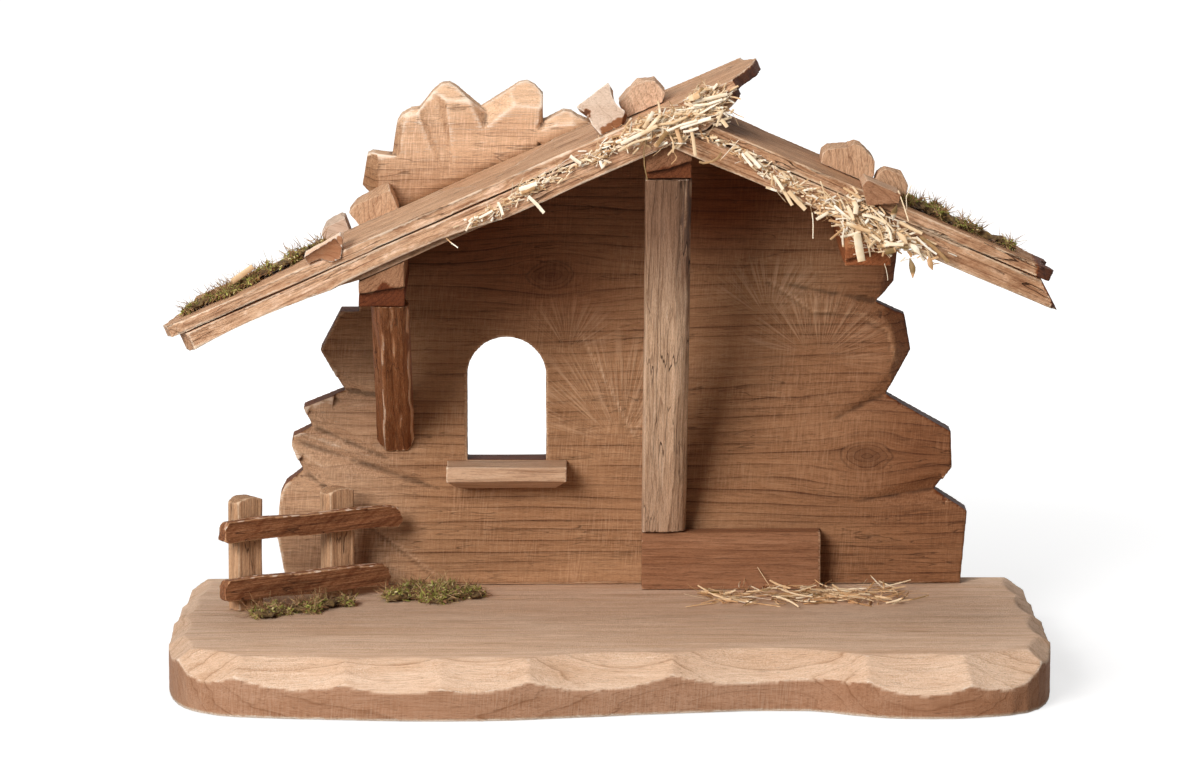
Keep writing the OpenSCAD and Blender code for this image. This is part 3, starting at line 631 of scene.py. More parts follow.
def timber(node, colours, along, look, **shape):
    """Carves a node from a wood of its own, whose grain runs along a direction."""
    finish = wood(node + "_wood", colours, centre=middle(node), along=along, **look)
    carve(node, finish, along=along, **shape)


print("carving tool ready")

# %% [markdown]
# ## The base board
# The base is one wide board with its grain along X. Its top is pale and has long quiet grain.
# Its sawn front soaked up more stain, which also paints its shade under the light from above,
# with more painted shade to the right. The gouge took the stain off the carved bevel.

# %% Base board
BASE = ((160, 117, 82), (210, 168, 134), (231, 198, 170), (246, 228, 208))
base_wood = wood("base_wood", BASE, centre=middle("base_board"), ring=3.6, pith=(20, -46),
                 sway=3.5, fibre=0.45, blotch=0.8, saw=0.6, knots=[(86, 5, 4)], bump=0.6,
                 strong_stain_and_shade=(168, 121, 80))


def base_stain_and_shade(place, facing):
    """Stained on the front, partly as painted shade for a face turned from the light above, with
    more painted shade towards the right, where the lamp's light falls off, and almost clean on
    the bevel.
    """
    front = fade(np.abs(facing[:, 2]), 0.4, -0.2)
    bevel = fade(facing[:, 2], 0.3, 0.2) * fade(facing[:, 2], 0.96, -0.05)
    # Painted shade: more stain to the right, where the lamp's light falls off.
    right_falloff_paint = fade(place[:, 0], 0.02, 0.1)
    return (0.64 + 0.14 * right_falloff_paint) * front + 0.03 * bevel


carve("base_board", base_wood, tear=0.0002, dent=0.0002, front_tear=0.00025, stain=base_stain_and_shade)

# %% [markdown]
# ## The back wall
# The wall is a wide board too, with a darker stain, knots, and fans of gouge strokes that catch
# the light. The fans and knots belong to its wood, and each has its place on the front face.

# %% The wall's wood
WALL = ((86, 51, 29), (148, 102, 68), (175, 130, 93), (216, 175, 139))
# Fans: x and z in mm, the side they open to, their reach in mm and their number of strokes
FANS = [(57.7, 115, (-0.05, 0, 1), 26, 110), (72, 103, (-0.7, 0, 0.7), 26, 110),
        (76, 101, (0.6, 0, 0.8), 30, 120), (5, 70, (-0.25, 0, 1), 44, 130),
        (-14, 104, (0.2, 0, 1), 22, 110)]
KNOTS = [(-20.5, 132, 8), (93, 66.5, 9)]  # x, z and size in mm
wall_centre = middle("back_wall")


def on_wall(x, z):
    """A place on the wall's front face, in millimetres from the wall's centre."""
    return (x - 1000 * wall_centre[0], -6, z - 1000 * wall_centre[2])


wall_wood = wood("wall_wood", WALL, centre=wall_centre, ring=3.7, pith=(30, -190), sway=1.8,
                 lines=0.9, fibre=0.42, saw=0.5, cracks=0.5,
                 knots=[(*on_wall(x, z)[::2], size) for x, z, size in KNOTS],
                 fans=[(on_wall(x, z), *fan) for x, z, *fan in FANS], edge=(0.5, 0.9))
print("the wall has", len(FANS), "fans and", len(KNOTS), "knots")

# %% [markdown]
# The gouge also left bowls on the wall's face, and creases where two of its cuts meet. They are
# about a millimetre deep, so they are pressed into the fine mesh here.

# %% Bowls and creases
# Bowls: x and z of the middle, half sizes and depth, in mm
BOWLS = [(54, 105.5, 21, 24, 1.1), (84, 100, 19, 18, 1.1), (-6, 96, 15, 24, 0.8),
         (96, 132, 16, 12, 0.8), (60, 60, 26, 18, 0.8), (-84, 100, 22, 15, 0.8),
         (-70, 60, 24, 16, 0.8)]
# Creases: x and z of both ends, then how wide and how deep the cut on one side is, all in mm.
# A minus sign puts the cut on the right when looking along the line.
CREASES = [(-8.2, 109.9, 9.6, 75.1, 14, 0.6), (9.6, 75.1, 17.1, 90.3, 8, 0.6),
           (-90.3, 45.8, -56.4, 18.3, -18, 0.8), (58, 129.3, 73.4, 118.5, -12, 0.7),
           (73.4, 118.5, 89.8, 117.3, -12, 0.8), (89.8, 117.3, 99.5, 111.5, -12, 0.8),
           (99.5, 111.5, 102.8, 100.7, -12, 0.7)]


def beside(x, z, crease):
    """How far points lie from a crease, on its cut side, and whether they are level with it."""
    x1, z1, x2, z2, width, _ = crease
    run = math.hypot(x2 - x1, z2 - z1)
    dx, dz = (x2 - x1) / run, (z2 - z1) / run
    along = (x - x1) * dx + (z - z1) * dz
    off = ((z - z1) * dx - (x - x1) * dz) * (1 if width > 0 else -1)
    return off, np.clip(along / 3 + 1, 0, 1) * np.clip((run - along) / 3 + 1, 0, 1)


def bowl_cuts(place, facing):
    """How deep the bowls and creases go in at each point of the wall's front face."""
    x, z = place[:, 0] * 1000, place[:, 2] * 1000
    depth = np.zeros(len(x))
    for cx, cz, rx, rz, deep in BOWLS:
        depth = np.maximum(depth, deep * (1 - ((x - cx) / rx) ** 2 - ((z - cz) / rz) ** 2))
    for crease in CREASES:
        off, level_with = beside(x, z, crease)
        cut = np.minimum(np.clip(off + 0.7, 0, 1), np.clip(1 - off / abs(crease[4]), 0, 1))
        depth = np.maximum(depth, crease[5] * cut * level_with)
    return depth / 1000 * (facing[:, 1] < -0.9)


print(len(BOWLS), "bowls and", len(CREASES), "creases")

# %% [markdown]
# Painted shade: a strong stain stands for the roof's shadow on the wall, weaker on the right, and
# dark grey for the shade on the sawn edges below the roof. Patches and a gradient across the wall
# are painted light and shade. The crest above the roof stayed pale, with painted shade on its
# facets that face down or sideways, and the ridges along the creases were rubbed paler.

# %% Back wall
ROOF_TOP, ROOF_FALL, RIDGE_X = 0.189, 0.44, 0.0202  # the roof's line on the wall
# Patches of painted shade (more stain) and painted light (less), partly over knot streaks: x and
# z of the middle, half sizes in mm, and how much
LIGHT_AND_SHADE_PATCHES = [(33, 152, 24, 16, 0.6), (-17, 126, 34, 17, 0.6), (69, 134, 22, 15, -0.45),
           (114, 66, 20, 24, 0.15), (-99, 76, 22, 22, -0.1), (-45, 148, 26, 12, 0.2)]


def wall_stain_and_shade(place, facing):
    """Painted roof shadow, painted light and shade across the wall, dark sawn edges as painted
    shade, and a paler crest above the roof with painted shade on its turned facets.
    """
    x, z = place[:, 0], place[:, 2]
    sideways, forward, upward = facing.T
    roof = ROOF_TOP - ROOF_FALL * np.abs(x - RIDGE_X)
    # Painted shadow of the roof on the wall, weaker on the right, where more light reaches under
    # the roof.
    roof_shadow_paint = fade(z - roof, -0.055, 0.05) ** 1.6
    roof_shadow_paint *= 1 - 0.45 * fade(x, 0.05, 0.02)
    # Painted light and shade: darker towards the right and lighter towards the left, with the
    # patches. The crease ridges are real rubbing.
    light_shade_and_rub = 0.5 * fade(x, 0.02, 0.09) - 0.4 * fade(x, -0.06, -0.03)
    for cx, cz, rx, rz, more in LIGHT_AND_SHADE_PATCHES:
        away = ((x * 1000 - cx) / rx) ** 2 + ((z * 1000 - cz) / rz) ** 2
        light_shade_and_rub += more * np.exp(-away)
    rub = np.zeros(len(x))
    for crease in CREASES:
        off, level_with = beside(x * 1000, z * 1000, crease)
        rub = np.maximum(rub, level_with * np.clip(1 - np.abs(off + 0.5) / 0.7, 0, 1))
    light_shade_and_rub -= 0.4 * rub
    # Painted shade: the sawn edges below the roof go dark grey.
    edge = fade(np.abs(forward), 0.75, -0.3) * np.clip(upward * 2 + 0.7, 0.3, 1)
    wall = 0.04 + 0.8 * roof_shadow_paint + light_shade_and_rub + 1.3 * edge
    pale = 0.42 + 0.45 * fade(z, 0.166, 0.016)
    # Painted shade on crest facets that face down or sideways, and painted light on those that
    # face up.
    bevel = fade(np.abs(forward), 0.985, -0.05) * (forward < -0.3)
    hollow = bevel * np.clip(0.3 - upward + 0.6 * np.abs(sideways), 0, 0.5)
    crest = fade(z - roof, 0.004, 0.008)
    return ((1 - crest) * wall
            - crest * (pale - 0.9 * hollow + 0.25 * bevel * np.clip(upward, 0, 1)))


carve("back_wall", wall_wood, cell=0.00102, tear=0.0002, dent=0.0002, stain=wall_stain_and_shade,
      cuts=bowl_cuts)

# %% [markdown]
# ## Roof
# The roof's boards were split from a log and left with their torn front edges. Their grain
# follows the slope, so the pattern is turned by the roof's pitch. The torn front faces are
# pressed in deeper than the rest.

# %% Roof boards
BOARDS = ("roof_left_lower", "roof_left_upper", "roof_right_lower", "roof_right_upper")
PITCH_LEFT, PITCH_RIGHT = 23.8, -23.3  # degrees
ROOF_LEFT = ((140, 90, 56), (200, 149, 110), (224, 179, 142), (246, 220, 192))
ROOF_RIGHT = ((122, 74, 44), (182, 130, 90), (208, 160, 122), (238, 206, 172))
ROOF_LOOK = dict(ring=1.9, pith=(-70, -25), sway=2.0, lines=0.75, fibre=0.8, cracks=0.9,
                 bump=1.0, edge=(0.35, 0.7))


def slope_at(pitch):
    return (math.cos(math.radians(pitch)), 0, math.sin(math.radians(pitch)))


def torn_board(node, slope):
    """The front took the stain in torn streaks, and the broken right-hand ends are dark."""
    def rule(place, facing):
        x, z = place[:, 0], place[:, 2]
        outward = fade(facing[:, 0], 0.55, 0.15)
        tip = np.maximum(fade(x, 0.138, 0.004), fade(z, 0.202, 0.004))
        ragged = specks(place, 500)
        if node == "roof_right_upper":
            broken = np.clip((x - 0.1455) / 0.001 + 1.5 * ragged, 0, 1)
            tip = np.maximum(tip, broken)
            outward = np.maximum(outward, broken * (z < 0.1505))
        streaky = grain_noise(place, slope, 6, 0.0015, 61) + 0.5 * ragged
        front = np.clip(-facing[:, 1], 0.15, 1)
        torn = np.clip(streaky * 1.2 - 0.15, 0, 0.4) + np.clip(streaky * 0.8 + 0.15, -0.2, 0)
        return 1.6 * outward * tip + front * torn
    return rule


for node in BOARDS:
    colours, slope = ((ROOF_LEFT, slope_at(PITCH_LEFT)) if "left" in node
                      else (ROOF_RIGHT, slope_at(PITCH_RIGHT)))
    timber(node, colours, slope, ROOF_LOOK, cell=0.0009, tear=0.0004, front_tear=0.0012,
           stain=torn_board(node, slope))

# %% [markdown]
# The weights on the roof are offcuts. Their faces are end grain and their stain is thin, so
# they get tight rings about a pith that lies close by.

# %% Blocks on the roof
BLOCK = ((128, 82, 52), (192, 144, 108), (218, 176, 140), (242, 216, 188))
BLOCK_LOOK = dict(ring=1.6, sway=0.8, lines=0.7, fibre=0.6, bump=0.8, edge=(0.35, 0.75))


def sawn_front(place, facing):
    """A hollow sawn end that kept its stain inside the rim."""
    return 0.75 * np.clip((-facing[:, 1] - 0.45) / 0.25, 0, 1) - 0.1


def thin_stain(place, facing):
    return np.full(len(place), -0.2)


for node, along, pith, rule in (("left_block", (0.2, 0.3, 1), (9, 12), None),
                                ("ridge_block", (0.3, 0.5, 1), (12, 6), thin_stain),
                                ("right_block", (0.05, 0.2, 1), (10, 14), None),
                                ("right_rear_block", (-0.3, 0.4, 1), (8, 10), None),
                                ("right_slab", (1, 0.3, -0.4), (12, -10), sawn_front)):
    timber(node, BLOCK, along, BLOCK_LOOK | {"pith": pith}, cell=0.0005, tear=0.0004,
           stain=rule)

# %% [markdown]
# Three of them are flat slabs of paler wood. The one on the ridge still has bark in its notch.
# The left one is warmer in colour and keeps some stain inside its pale rim.

# %% Slabs on the roof
OFFCUT = ((146, 112, 88), (196, 164, 140), (216, 190, 168), (238, 220, 202))
WARM_OFFCUT = ((156, 94, 54), (204, 146, 102), (228, 188, 152), (248, 234, 218))


def pale_rim(place, facing):
    """A sawn end like the right slab's, whose rim and back stayed almost bare."""
    return 1.5 * sawn_front(place, facing) - 0.3


def bark_bits(place, facing):
    """Bark in the slab's notch, and the sawn end that shows below its pale face."""
    ragged = specks(place, 900)
    left = np.hypot((place[:, 0] + 0.0082) / 0.0016, (place[:, 2] - 0.1996) / 0.0016)
    x, z = place[:, 0] * 1000, place[:, 2] * 1000
    end = np.clip((196.4 + 0.5 * (x + 1.4) + 0.8 * ragged - z) / 0.5, 0, 1)
    end *= np.clip((x + 3.4) / 0.8 + ragged, 0, 1)
    return 2.2 * np.clip((1.0 - left + ragged) * 2, 0, 1) + 1.1 * end


for node, colours, rule in (("ridge_slab", OFFCUT, bark_bits), ("left_rear_slab", OFFCUT, None),
                            ("left_slab", WARM_OFFCUT, pale_rim)):
    finish = wood(node + "_wood", colours, centre=middle(node), along=(1, 0, -0.3), ring=2.0,
                  pith=(14, -18), sway=0.8, lines=0.3, fibre=0.35, edge=(0.3, 0.65),
                  darkest_stain_and_shade=(84, 50, 32))
    carve(node, finish, cell=0.0005, along=(0, 1, 0), tear=0.0002, slot="pale_wood", stain=rule)

# %% [markdown]
# ## Beams and braces
# Squared timbers with a dark stain carry the roof. Their grain runs along Y, so the front shows
# end grain. Part of each end broke off and left a step, which shows as an edge between a paler
# and a darker part.

# %% Beams
BEAM = ((88, 50, 30), (148, 100, 68), (174, 126, 92), (206, 162, 128))
ORANGE_BEAM = ((116, 58, 28), (182, 112, 66), (206, 138, 92), (228, 180, 136))
BEAM_LOOK = dict(ring=1.5, pith=(11, 9), sway=0.8, fibre=0.6, bump=0.8, edge=(0.55, 1.0))


def split_end(node, share, flip, rise, deep):
    """Part of a beam's end broke off in a hump, so the part behind it is darker."""
    low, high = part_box(node)

    def rule(place, facing):
        u = (place[:, 0] - low[0]) / (high[0] - low[0])
        hump = rise * np.exp(-((u - 0.58) / 0.17) ** 2)
        edge = low[2] + (high[2] - low[2]) * (share + 0.1 * flip * (u - 0.5) + hump)
        edge += 0.0012 * noise_at((p[0] * 300, 0, 3) for p in place)
        lower = np.clip((edge - place[:, 2]) / 0.0006, 0, 1)
        return lower * deep + (0.3 if node == "ridge_beam" else 0.0)
    return rule


def sill_painted_shade(place, facing):
    """An even stain over the whole sill beam, as painted shade for the wall's shadow that it lies
    in.
    """
    return np.full(len(place), 0.35)


for node, colours, *split in (("ridge_beam", BEAM, 0.42, 3, 0, 0.6),
                              ("left_purlin", BEAM, 0.355, 1.6, 0.2, 1.1),
                              ("right_purlin", ORANGE_BEAM, 0.5, 2, 0, 0.6)):
    timber(node, colours, (0, 1, 0), BEAM_LOOK, cell=0.0007, tear=0.0002, dent=0.0004,
           slot="dark_wood", stain=split_end(node, *split))
timber("sill_beam", BEAM, (1, 0, 0), dict(ring=2.2, pith=(20, -30)), cell=0.0008,
       slot="dark_wood", stain=sill_painted_shade)

# %% [markdown]
# Both braces lean out to the beams' front ends, so their grain leans as well. The left one is
# dark, with long splits down it that the stain never reached.

# %% Left brace
BRACE_THICK = 0.012
DARK_BRACE = ((76, 36, 17), (132, 76, 43), (154, 98, 60), (220, 176, 134))


def leaning(node):
    """The direction of a brace, which leans from the wall's foot out to its beam."""
    low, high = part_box(node)
    return (0, -(high[1] - low[1] - BRACE_THICK), high[2] - low[2])


def pale_splits(place, facing):
    """Three long splits, which wander about x = -78.6, -74.5 and -69.5 mm."""
    x, z = place[:, 0] * 1000, place[:, 2] * 1000
    wander = noise_at((0, 0, h * 0.09) for h in z)
    splits = [np.abs(x + 78.6 - 0.02 * (z - 120) + 1.4 * wander),
              np.abs(x + 74.5 + 0.035 * (z - 110) + 1.8 * wander),
              np.abs(x + 69.5 + 1.2 * wander)]
    broken = noise_at((0, p[0] * 400, p[2] * 90) for p in place)
    line = np.clip(1.25 - np.minimum.reduce(splits) / 0.4, 0, 1)
    return -1.9 * line * np.clip(broken * 3 + 0.6, 0, 1)


timber("left_brace", DARK_BRACE, leaning("left_brace"),
       dict(ring=2.0, pith=(20, -30), sway=1.5, lines=0.7, fibre=0.6, cracks=0.9, bump=0.8,
            edge=(0.4, 0.8)),
       cell=0.0006, tear=0.0007, front_tear=0.0005, slot="dark_wood", stain=pale_splits)

# %% [markdown]
# The middle brace is old grey wood with a bark side, and the roof's shadow is painted on its
# top. The window's sill is a small plain ledge.

# %% Middle brace and sill
GREY_BRACE = ((134, 98, 70), (202, 162, 128), (226, 190, 158), (244, 220, 196))
SILL = ((134, 96, 68), (186, 144, 112), (210, 172, 140), (234, 206, 178))


def brace_stain_and_shadow(place, facing):
    """Painted shadow of the roof on the brace's top, paler halfway up, darker towards the foot,
    and a rough bark edge.
    """
    x, z = place[:, 0], place[:, 2]
    top_shadow_paint = fade(z, 0.118, 0.04)
    foot = fade(z, 0.085, -0.05)
    edge = noise_at((0, 0, h * 160) for h in z) * 0.0015
    bark = fade(x + edge, 0.0245, 0.0006) * fade(z, 0.1, 0.06)
    flecks = noise_at((p[0] * 900, 0, p[2] * 130) for p in place)
    rough = 0.6 * bark - 1.1 * bark * np.clip(flecks * 3, 0, 1)
    return 1.05 * top_shadow_paint + 0.4 * foot + rough


# Its strong colour mostly paints the roof's shadow on its top.
timber("centre_brace", GREY_BRACE, leaning("centre_brace"),
       dict(ring=1.4, pith=(30, 8), sway=1.5, fibre=0.8, cracks=0.9, bump=0.8,
            edge=(0.35, 0.8), strong_stain_and_shade=(172, 158, 152)),
       cell=0.0007, tear=0.0006, front_tear=0.0003, slot="pale_wood", stain=brace_stain_and_shadow)
sill_wood = wood("sill_wood", SILL, centre=middle("window_sill"), ring=2.0, pith=(20, 20),
                 lines=0.4)
carve("window_sill", sill_wood, cell=0.0007, slot="pale_wood")

# %% [markdown]
# ## Fence
# The fence is split wood. An axe tore the rails' upper edges, so pale wood shows in slanting
# chips there. The posts are paler, with their grain upright.

# %% Fence
RAIL = ((70, 36, 20), (128, 80, 50), (156, 102, 68), (212, 162, 120))
POST = ((118, 78, 50), (184, 136, 98), (210, 166, 128), (238, 206, 172))
FENCE_TURN = math.radians(35)
along_fence = (math.cos(FENCE_TURN), math.sin(FENCE_TURN), 0)
RAIL_LOOK = dict(ring=1.6, pith=(15, 12), sway=1.2, fibre=0.8, cracks=0.9, edge=(0.35, 0.75))
POST_LOOK = dict(ring=1.6, pith=(14, 6), sway=1.2, lines=0.7, fibre=0.7, cracks=0.8,
                 edge=(0.35, 0.8))


def hewn_rail(place, facing):
    """Pale chips on the upper edges, and torn stain below them."""
    slant = (along_fence[0], along_fence[1], 0.5)
    chips_off = grain_noise(place, slant, 5, 0.0013, 70)
    upper = np.clip(facing[:, 2] - 0.1, 0, 0.6)
    return (0.5 * np.clip(-chips_off * 3 - 0.3, 0, 1) * (facing[:, 2] < 0.5)
            - 1.9 * upper * np.clip(chips_off * 4 - 0.4, 0, 1))


for node in ("fence_rail_upper", "fence_rail_lower"):
    timber(node, RAIL, along_fence, RAIL_LOOK, cell=0.0006, tear=0.0006, dent=0.0004,
           front_tear=0.0003, slot="dark_wood", stain=hewn_rail)
for node in ("fence_post_left", "fence_post_right"):
    timber(node, POST, (0, 0, 1), POST_LOOK, cell=0.0006, tear=0.0004)

# %% [markdown]
# The screws under the base and the dowels inside the joints keep their CAD shapes. The screws
# are zinc plated, and the dowels are plain beech.

# %% Fasteners
BEECH = ((160, 120, 84), (204, 166, 126), (222, 188, 150), (236, 210, 180))


def zinc():
    material, tree = new_material("zinc_steel")
    cloudy = speckle(tree, 900.0, 4.0)
    colour = ramp(tree, cloudy, tints((0.3, 150, 150, 152), (0.7, 196, 196, 198)))
    close_material(tree, colour, level(tree, cloudy, 0.3, 0.7, 0.28, 0.42), Metallic=1.0)
    return material


for node, finish in (("wall_screws", zinc()),
                     ("beam_dowels", wood("dowel_wood", BEECH, along=(0, 1, 0), lines=0.2))):
    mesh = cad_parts[node].data
    mesh.materials.clear()
    mesh.materials.append(finish)
    print(node, "has", finish.name)

# %% [markdown]
# ## Straw and moss
# Chips of straw and wood wool are glued along the roof's front edge, thinly on the left, in a
# heap at the ridge and again over the right purlin. Each strand is a thin flat strip. A curve
# with a flat section draws such a strip in a few faces, and one curve object holds a whole heap,
# which is then made a mesh.

# %% Strands
WIDEST, THICK = 0.001, 0.0002  # a strip's section in metres


def strand(start, heading, length, curl, points=7):
    """The points of one strand that wanders as it goes."""
    heading = Vector(heading).normalized()
    turn = Vector([random.uniform(-1, 1) for _ in range(3)]).cross(heading) * curl
    place, route = Vector(start), [Vector(start)]
    for _ in range(points - 1):
        heading = (heading + turn / points).normalized()
        place = place + heading * length / (points - 1)
        route.append(place.copy())
    return route


def set_strip(line, route, width, roll, blunt):
    """Gives a spline its points, which are narrower near the ends and rolled to lie flat."""
    line.points.add(len(route) - 1)
    for i, (point, place) in enumerate(zip(line.points, route)):
        point.co = (place.x, place.z, -place.y, 1)
        fade_out = min(i, len(route) - 1 - i) / (len(route) - 1)
        point.radius = width / WIDEST * (blunt + (1 - blunt) * min(1, fade_out * 2.5))
        point.tilt = math.pi / 2 + roll


def heap(name, strands, material, replaced):
    """Makes one mesh of many strands. Each strand is its route, width, roll, shade and how
    blunt its ends are, and it lies flat against the front when its roll is 0."""
    curve = bpy.data.curves.new(name, "CURVE")
    curve.dimensions = "3D"
    curve.twist_mode = "Z_UP"
    curve.extrude = WIDEST / 2
    curve.bevel_depth = THICK / 2
    curve.bevel_resolution = 0
    curve.use_fill_caps = True
    for route, width, roll, _, blunt in strands:
        set_strip(curve.splines.new("POLY"), route, width, roll, blunt)
    source = add_object(name + "_curve", curve)
    graph = bpy.context.evaluated_depsgraph_get()
    mesh = bpy.data.meshes.new_from_object(source.evaluated_get(graph))
    bpy.data.objects.remove(source)
    mesh.transform(Matrix.Rotation(math.radians(90), 4, "X"))
    piece = add_object(name, mesh)
    each = len(mesh.vertices) // max(1, len(strands))
    store(mesh, "shade", np.repeat(np.array([one[3] for one in strands]), each))
    mesh.materials.clear()
    mesh.materials.append(material)
    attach(piece, "root")
    if replaced:
        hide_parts(replaced)
    print(name, len(strands), "strands", len(mesh.polygons), "faces")


print("strands ready")

# %% [markdown]
# No two straws have the same colour. Each strand stores a shade of its own, and a ramp from dark
# stalks to bleached chips turns it into a colour, with small flecks in it.

# %% Straw's finish
def strand_material(name, stops, rough=0.6):
    material, tree = new_material(name)
    fleck = speckle(tree, 420.0, 3.0)
    centred = maths(tree, "SUBTRACT", fleck, 0.5)
    shade = maths(tree, "MULTIPLY_ADD", centred, 0.4, stored(tree, "shade"))
    close_material(tree, ramp(tree, shade, tints(*stops)), rough,
                   relief_of(tree, fleck, 0.3, 0.0002))
    return material


straw_finish = strand_material("straw", [(0.0, 122, 94, 48), (0.22, 194, 146, 98),
                                         (0.45, 222, 184, 138), (0.7, 238, 212, 174),
                                         (1.0, 252, 242, 224)])
print("straw's finish ready")

# %% [markdown]
# The straw lies against the boards' front faces. A straw that would hang in the air above a
# board is lowered until it touches, as glue and weight would have it.

# %% Laying straw on the boards
ROOF_FRONT = -0.024
CLOSE = 0.0001  # as near as a straw lies to what is below or behind it
trees = {}


def rest_on(nodes, route, y):
    """Lowers a strand that would float above the given CAD nodes until it touches them."""
    gaps = []
    for node in nodes:
        if node not in trees:
            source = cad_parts[node].data
            trees[node] = BVHTree.FromPolygons([v.co for v in source.vertices],
                                               [p.vertices for p in source.polygons])
    for place in route:
        hits = [trees[node].ray_cast(Vector((place.x, y, 0.4)), Vector((0, 0, -1)))[0]
                for node in nodes]
        gaps += [place.z - max([hit.z for hit in hits if hit] or [place.z - CLOSE])]
    drop = max(0.0, min(gaps) - CLOSE)
    return [place - Vector((0, 0, drop)) for place in route]


def on_boards(route):
    return rest_on(BOARDS, route, ROOF_FRONT + 0.0012)


def chips(heaps, pitch, seed, widths=(0.25, 0.6), proud=1.6, lean=34, curl=0.4, pale=1.5):
    """Flat chips on the roof's front faces. They stand up to "proud" mm off the face and turn
    by about "lean" degrees. A smaller "pale" makes paler chips."""
    random.seed(seed)
    slope = Vector(slope_at(pitch))
    rise = Vector((-slope.z, 0, slope.x))
    made = []
    for x, z, along, across, count, lengths in heaps:
        for _ in range(count):
            spot = Vector((x, 0, z)) + slope * random.gauss(0, along)
            spot += rise * random.gauss(0, across)
            angle = math.radians(random.gauss(0, lean))
            heading = slope * math.cos(angle) + rise * math.sin(angle)
            heading.y = random.uniform(-0.18, 0.18)
            length = random.uniform(*lengths) * random.uniform(0.6, 1)
            start = (spot - heading * length / 2) / 1000
            start.y = ROOF_FRONT - random.uniform(0.1, proud) / 1000
            route = strand(start, heading, length / 1000, curl)
            for place in route:
                place.y = min(place.y, ROOF_FRONT - CLOSE)
            made.append((on_boards(route), random.uniform(*widths) / 1000,
                         random.gauss(0, 0.35), random.betavariate(1.8, pale), 0.9))
    return made


def threads(heaps, pitch, seed, share):
    """Fine curly fibres between the chips."""
    fewer = [(x, z, along, across * 1.3, max(2, int(share * count)), (3, 10))
             for x, z, along, across, count, _ in heaps]
    return chips(fewer, pitch, seed, widths=(0.14, 0.22), proud=2.4, lean=38, curl=1.0)


def laid(rows, y=-26.0, blunt=0.95):
    """Single straws, laid one by one. A row is x and z of each point, then a width and a shade.
    """
    made = []
    for *route, width, shade in rows:
        marks = np.array(route).reshape(-1, 2)
        runs = np.concatenate([[0], np.cumsum(np.hypot(*np.diff(marks, axis=0).T))])
        steps = np.linspace(0, runs[-1], 7)
        depth = y - random.uniform(0, 1.2)
        route = [Vector((x, depth - 0.25 * i, z)) / 1000 for i, (x, z) in enumerate(
            zip(np.interp(steps, runs, marks[:, 0]), np.interp(steps, runs, marks[:, 1])))]
        made.append((on_boards(route), width / 1000, random.gauss(0, 0.2), shade, blunt))
    return made


print("straw tools ready")

# %% [markdown]
# The chips were glued on by the pinch. Each pinch is one small heap, placed where the photograph
# shows it, and its chips are drawn at random from a fixed seed.

# %% Heaps of chips
# x and z of the middle, how far the chips spread along the slope and across it, their number
# and their lengths, all in millimetres
LEFT_HEAPS = [(-47, 163.5, 4, 1.0, 16, (1, 4)), (-41, 167, 4, 1.0, 20, (1, 4.5)),
              (-36, 169, 3, 1.0, 22, (1, 4.5)), (-31, 172, 3, 1.0, 18, (1, 4)),
              (-27.5, 175, 2.6, 1.3, 46, (1.5, 5)), (-22, 177.5, 3, 1.0, 18, (1, 4)),
              (-17, 180, 4, 1.0, 22, (1, 4)), (-10, 183.5, 4, 0.9, 16, (1, 4)),
              (-4, 186, 2.6, 1.5, 40, (1.5, 5)), (2, 189.5, 3, 1.4, 26, (1.5, 5))]
RIDGE_HEAPS = [(8, 193, 4, 1.4, 36, (2, 7)), (14, 196.5, 4, 2.0, 60, (2, 8)),
               (20, 197.5, 5, 2.2, 66, (2, 9)), (26, 199, 5, 2.4, 70, (2, 10)),
               (31, 202, 4.5, 2.6, 66, (2, 9)), (36, 205.5, 4, 1.9, 50, (2, 7)),
               (29.5, 208.5, 2.6, 1.8, 26, (1.5, 5)), (38, 199.5, 2, 1.6, 12, (2, 6)),
               (22, 192, 4, 1.4, 20, (2, 7))]
RIGHT_HEAPS = [(36, 191.5, 3, 0.6, 12, (1, 4)), (41, 189.5, 3, 0.7, 14, (1, 4)),
               (46, 186.8, 3, 1.0, 18, (1.5, 5)), (51, 183.3, 3, 1.1, 20, (1.5, 5)),
               (56, 179.8, 3, 1.3, 26, (1.5, 5)), (61, 176.8, 3.5, 1.4, 28, (1.5, 5)),
               (66, 173.6, 3.5, 1.5, 32, (1.5, 5)), (71, 170.8, 3.5, 1.7, 36, (1.5, 6)),
               (76, 168.4, 3.5, 1.9, 42, (2, 6)), (80, 166.5, 3, 2.6, 50, (2, 8)),
               (84, 163, 3.5, 2.6, 60, (2, 9)), (88, 161, 3.5, 3.0, 60, (2, 9)),
               (93, 158.5, 3.5, 3.0, 56, (2, 9)), (98, 157.3, 3, 2.2, 40, (2, 8)),
               (103, 155, 3, 1.8, 26, (2, 8)), (108, 152.5, 3, 1.4, 18, (2, 7)),
               (83.5, 170, 1.6, 2.4, 40, (1.5, 5)), (91, 166, 3, 1.6, 24, (1.5, 5))]

print(len(LEFT_HEAPS + RIDGE_HEAPS + RIGHT_HEAPS), "heaps of chips")

# %% [markdown]
# The longer straws and the broad leaves stand out one by one, so they are laid one by one.

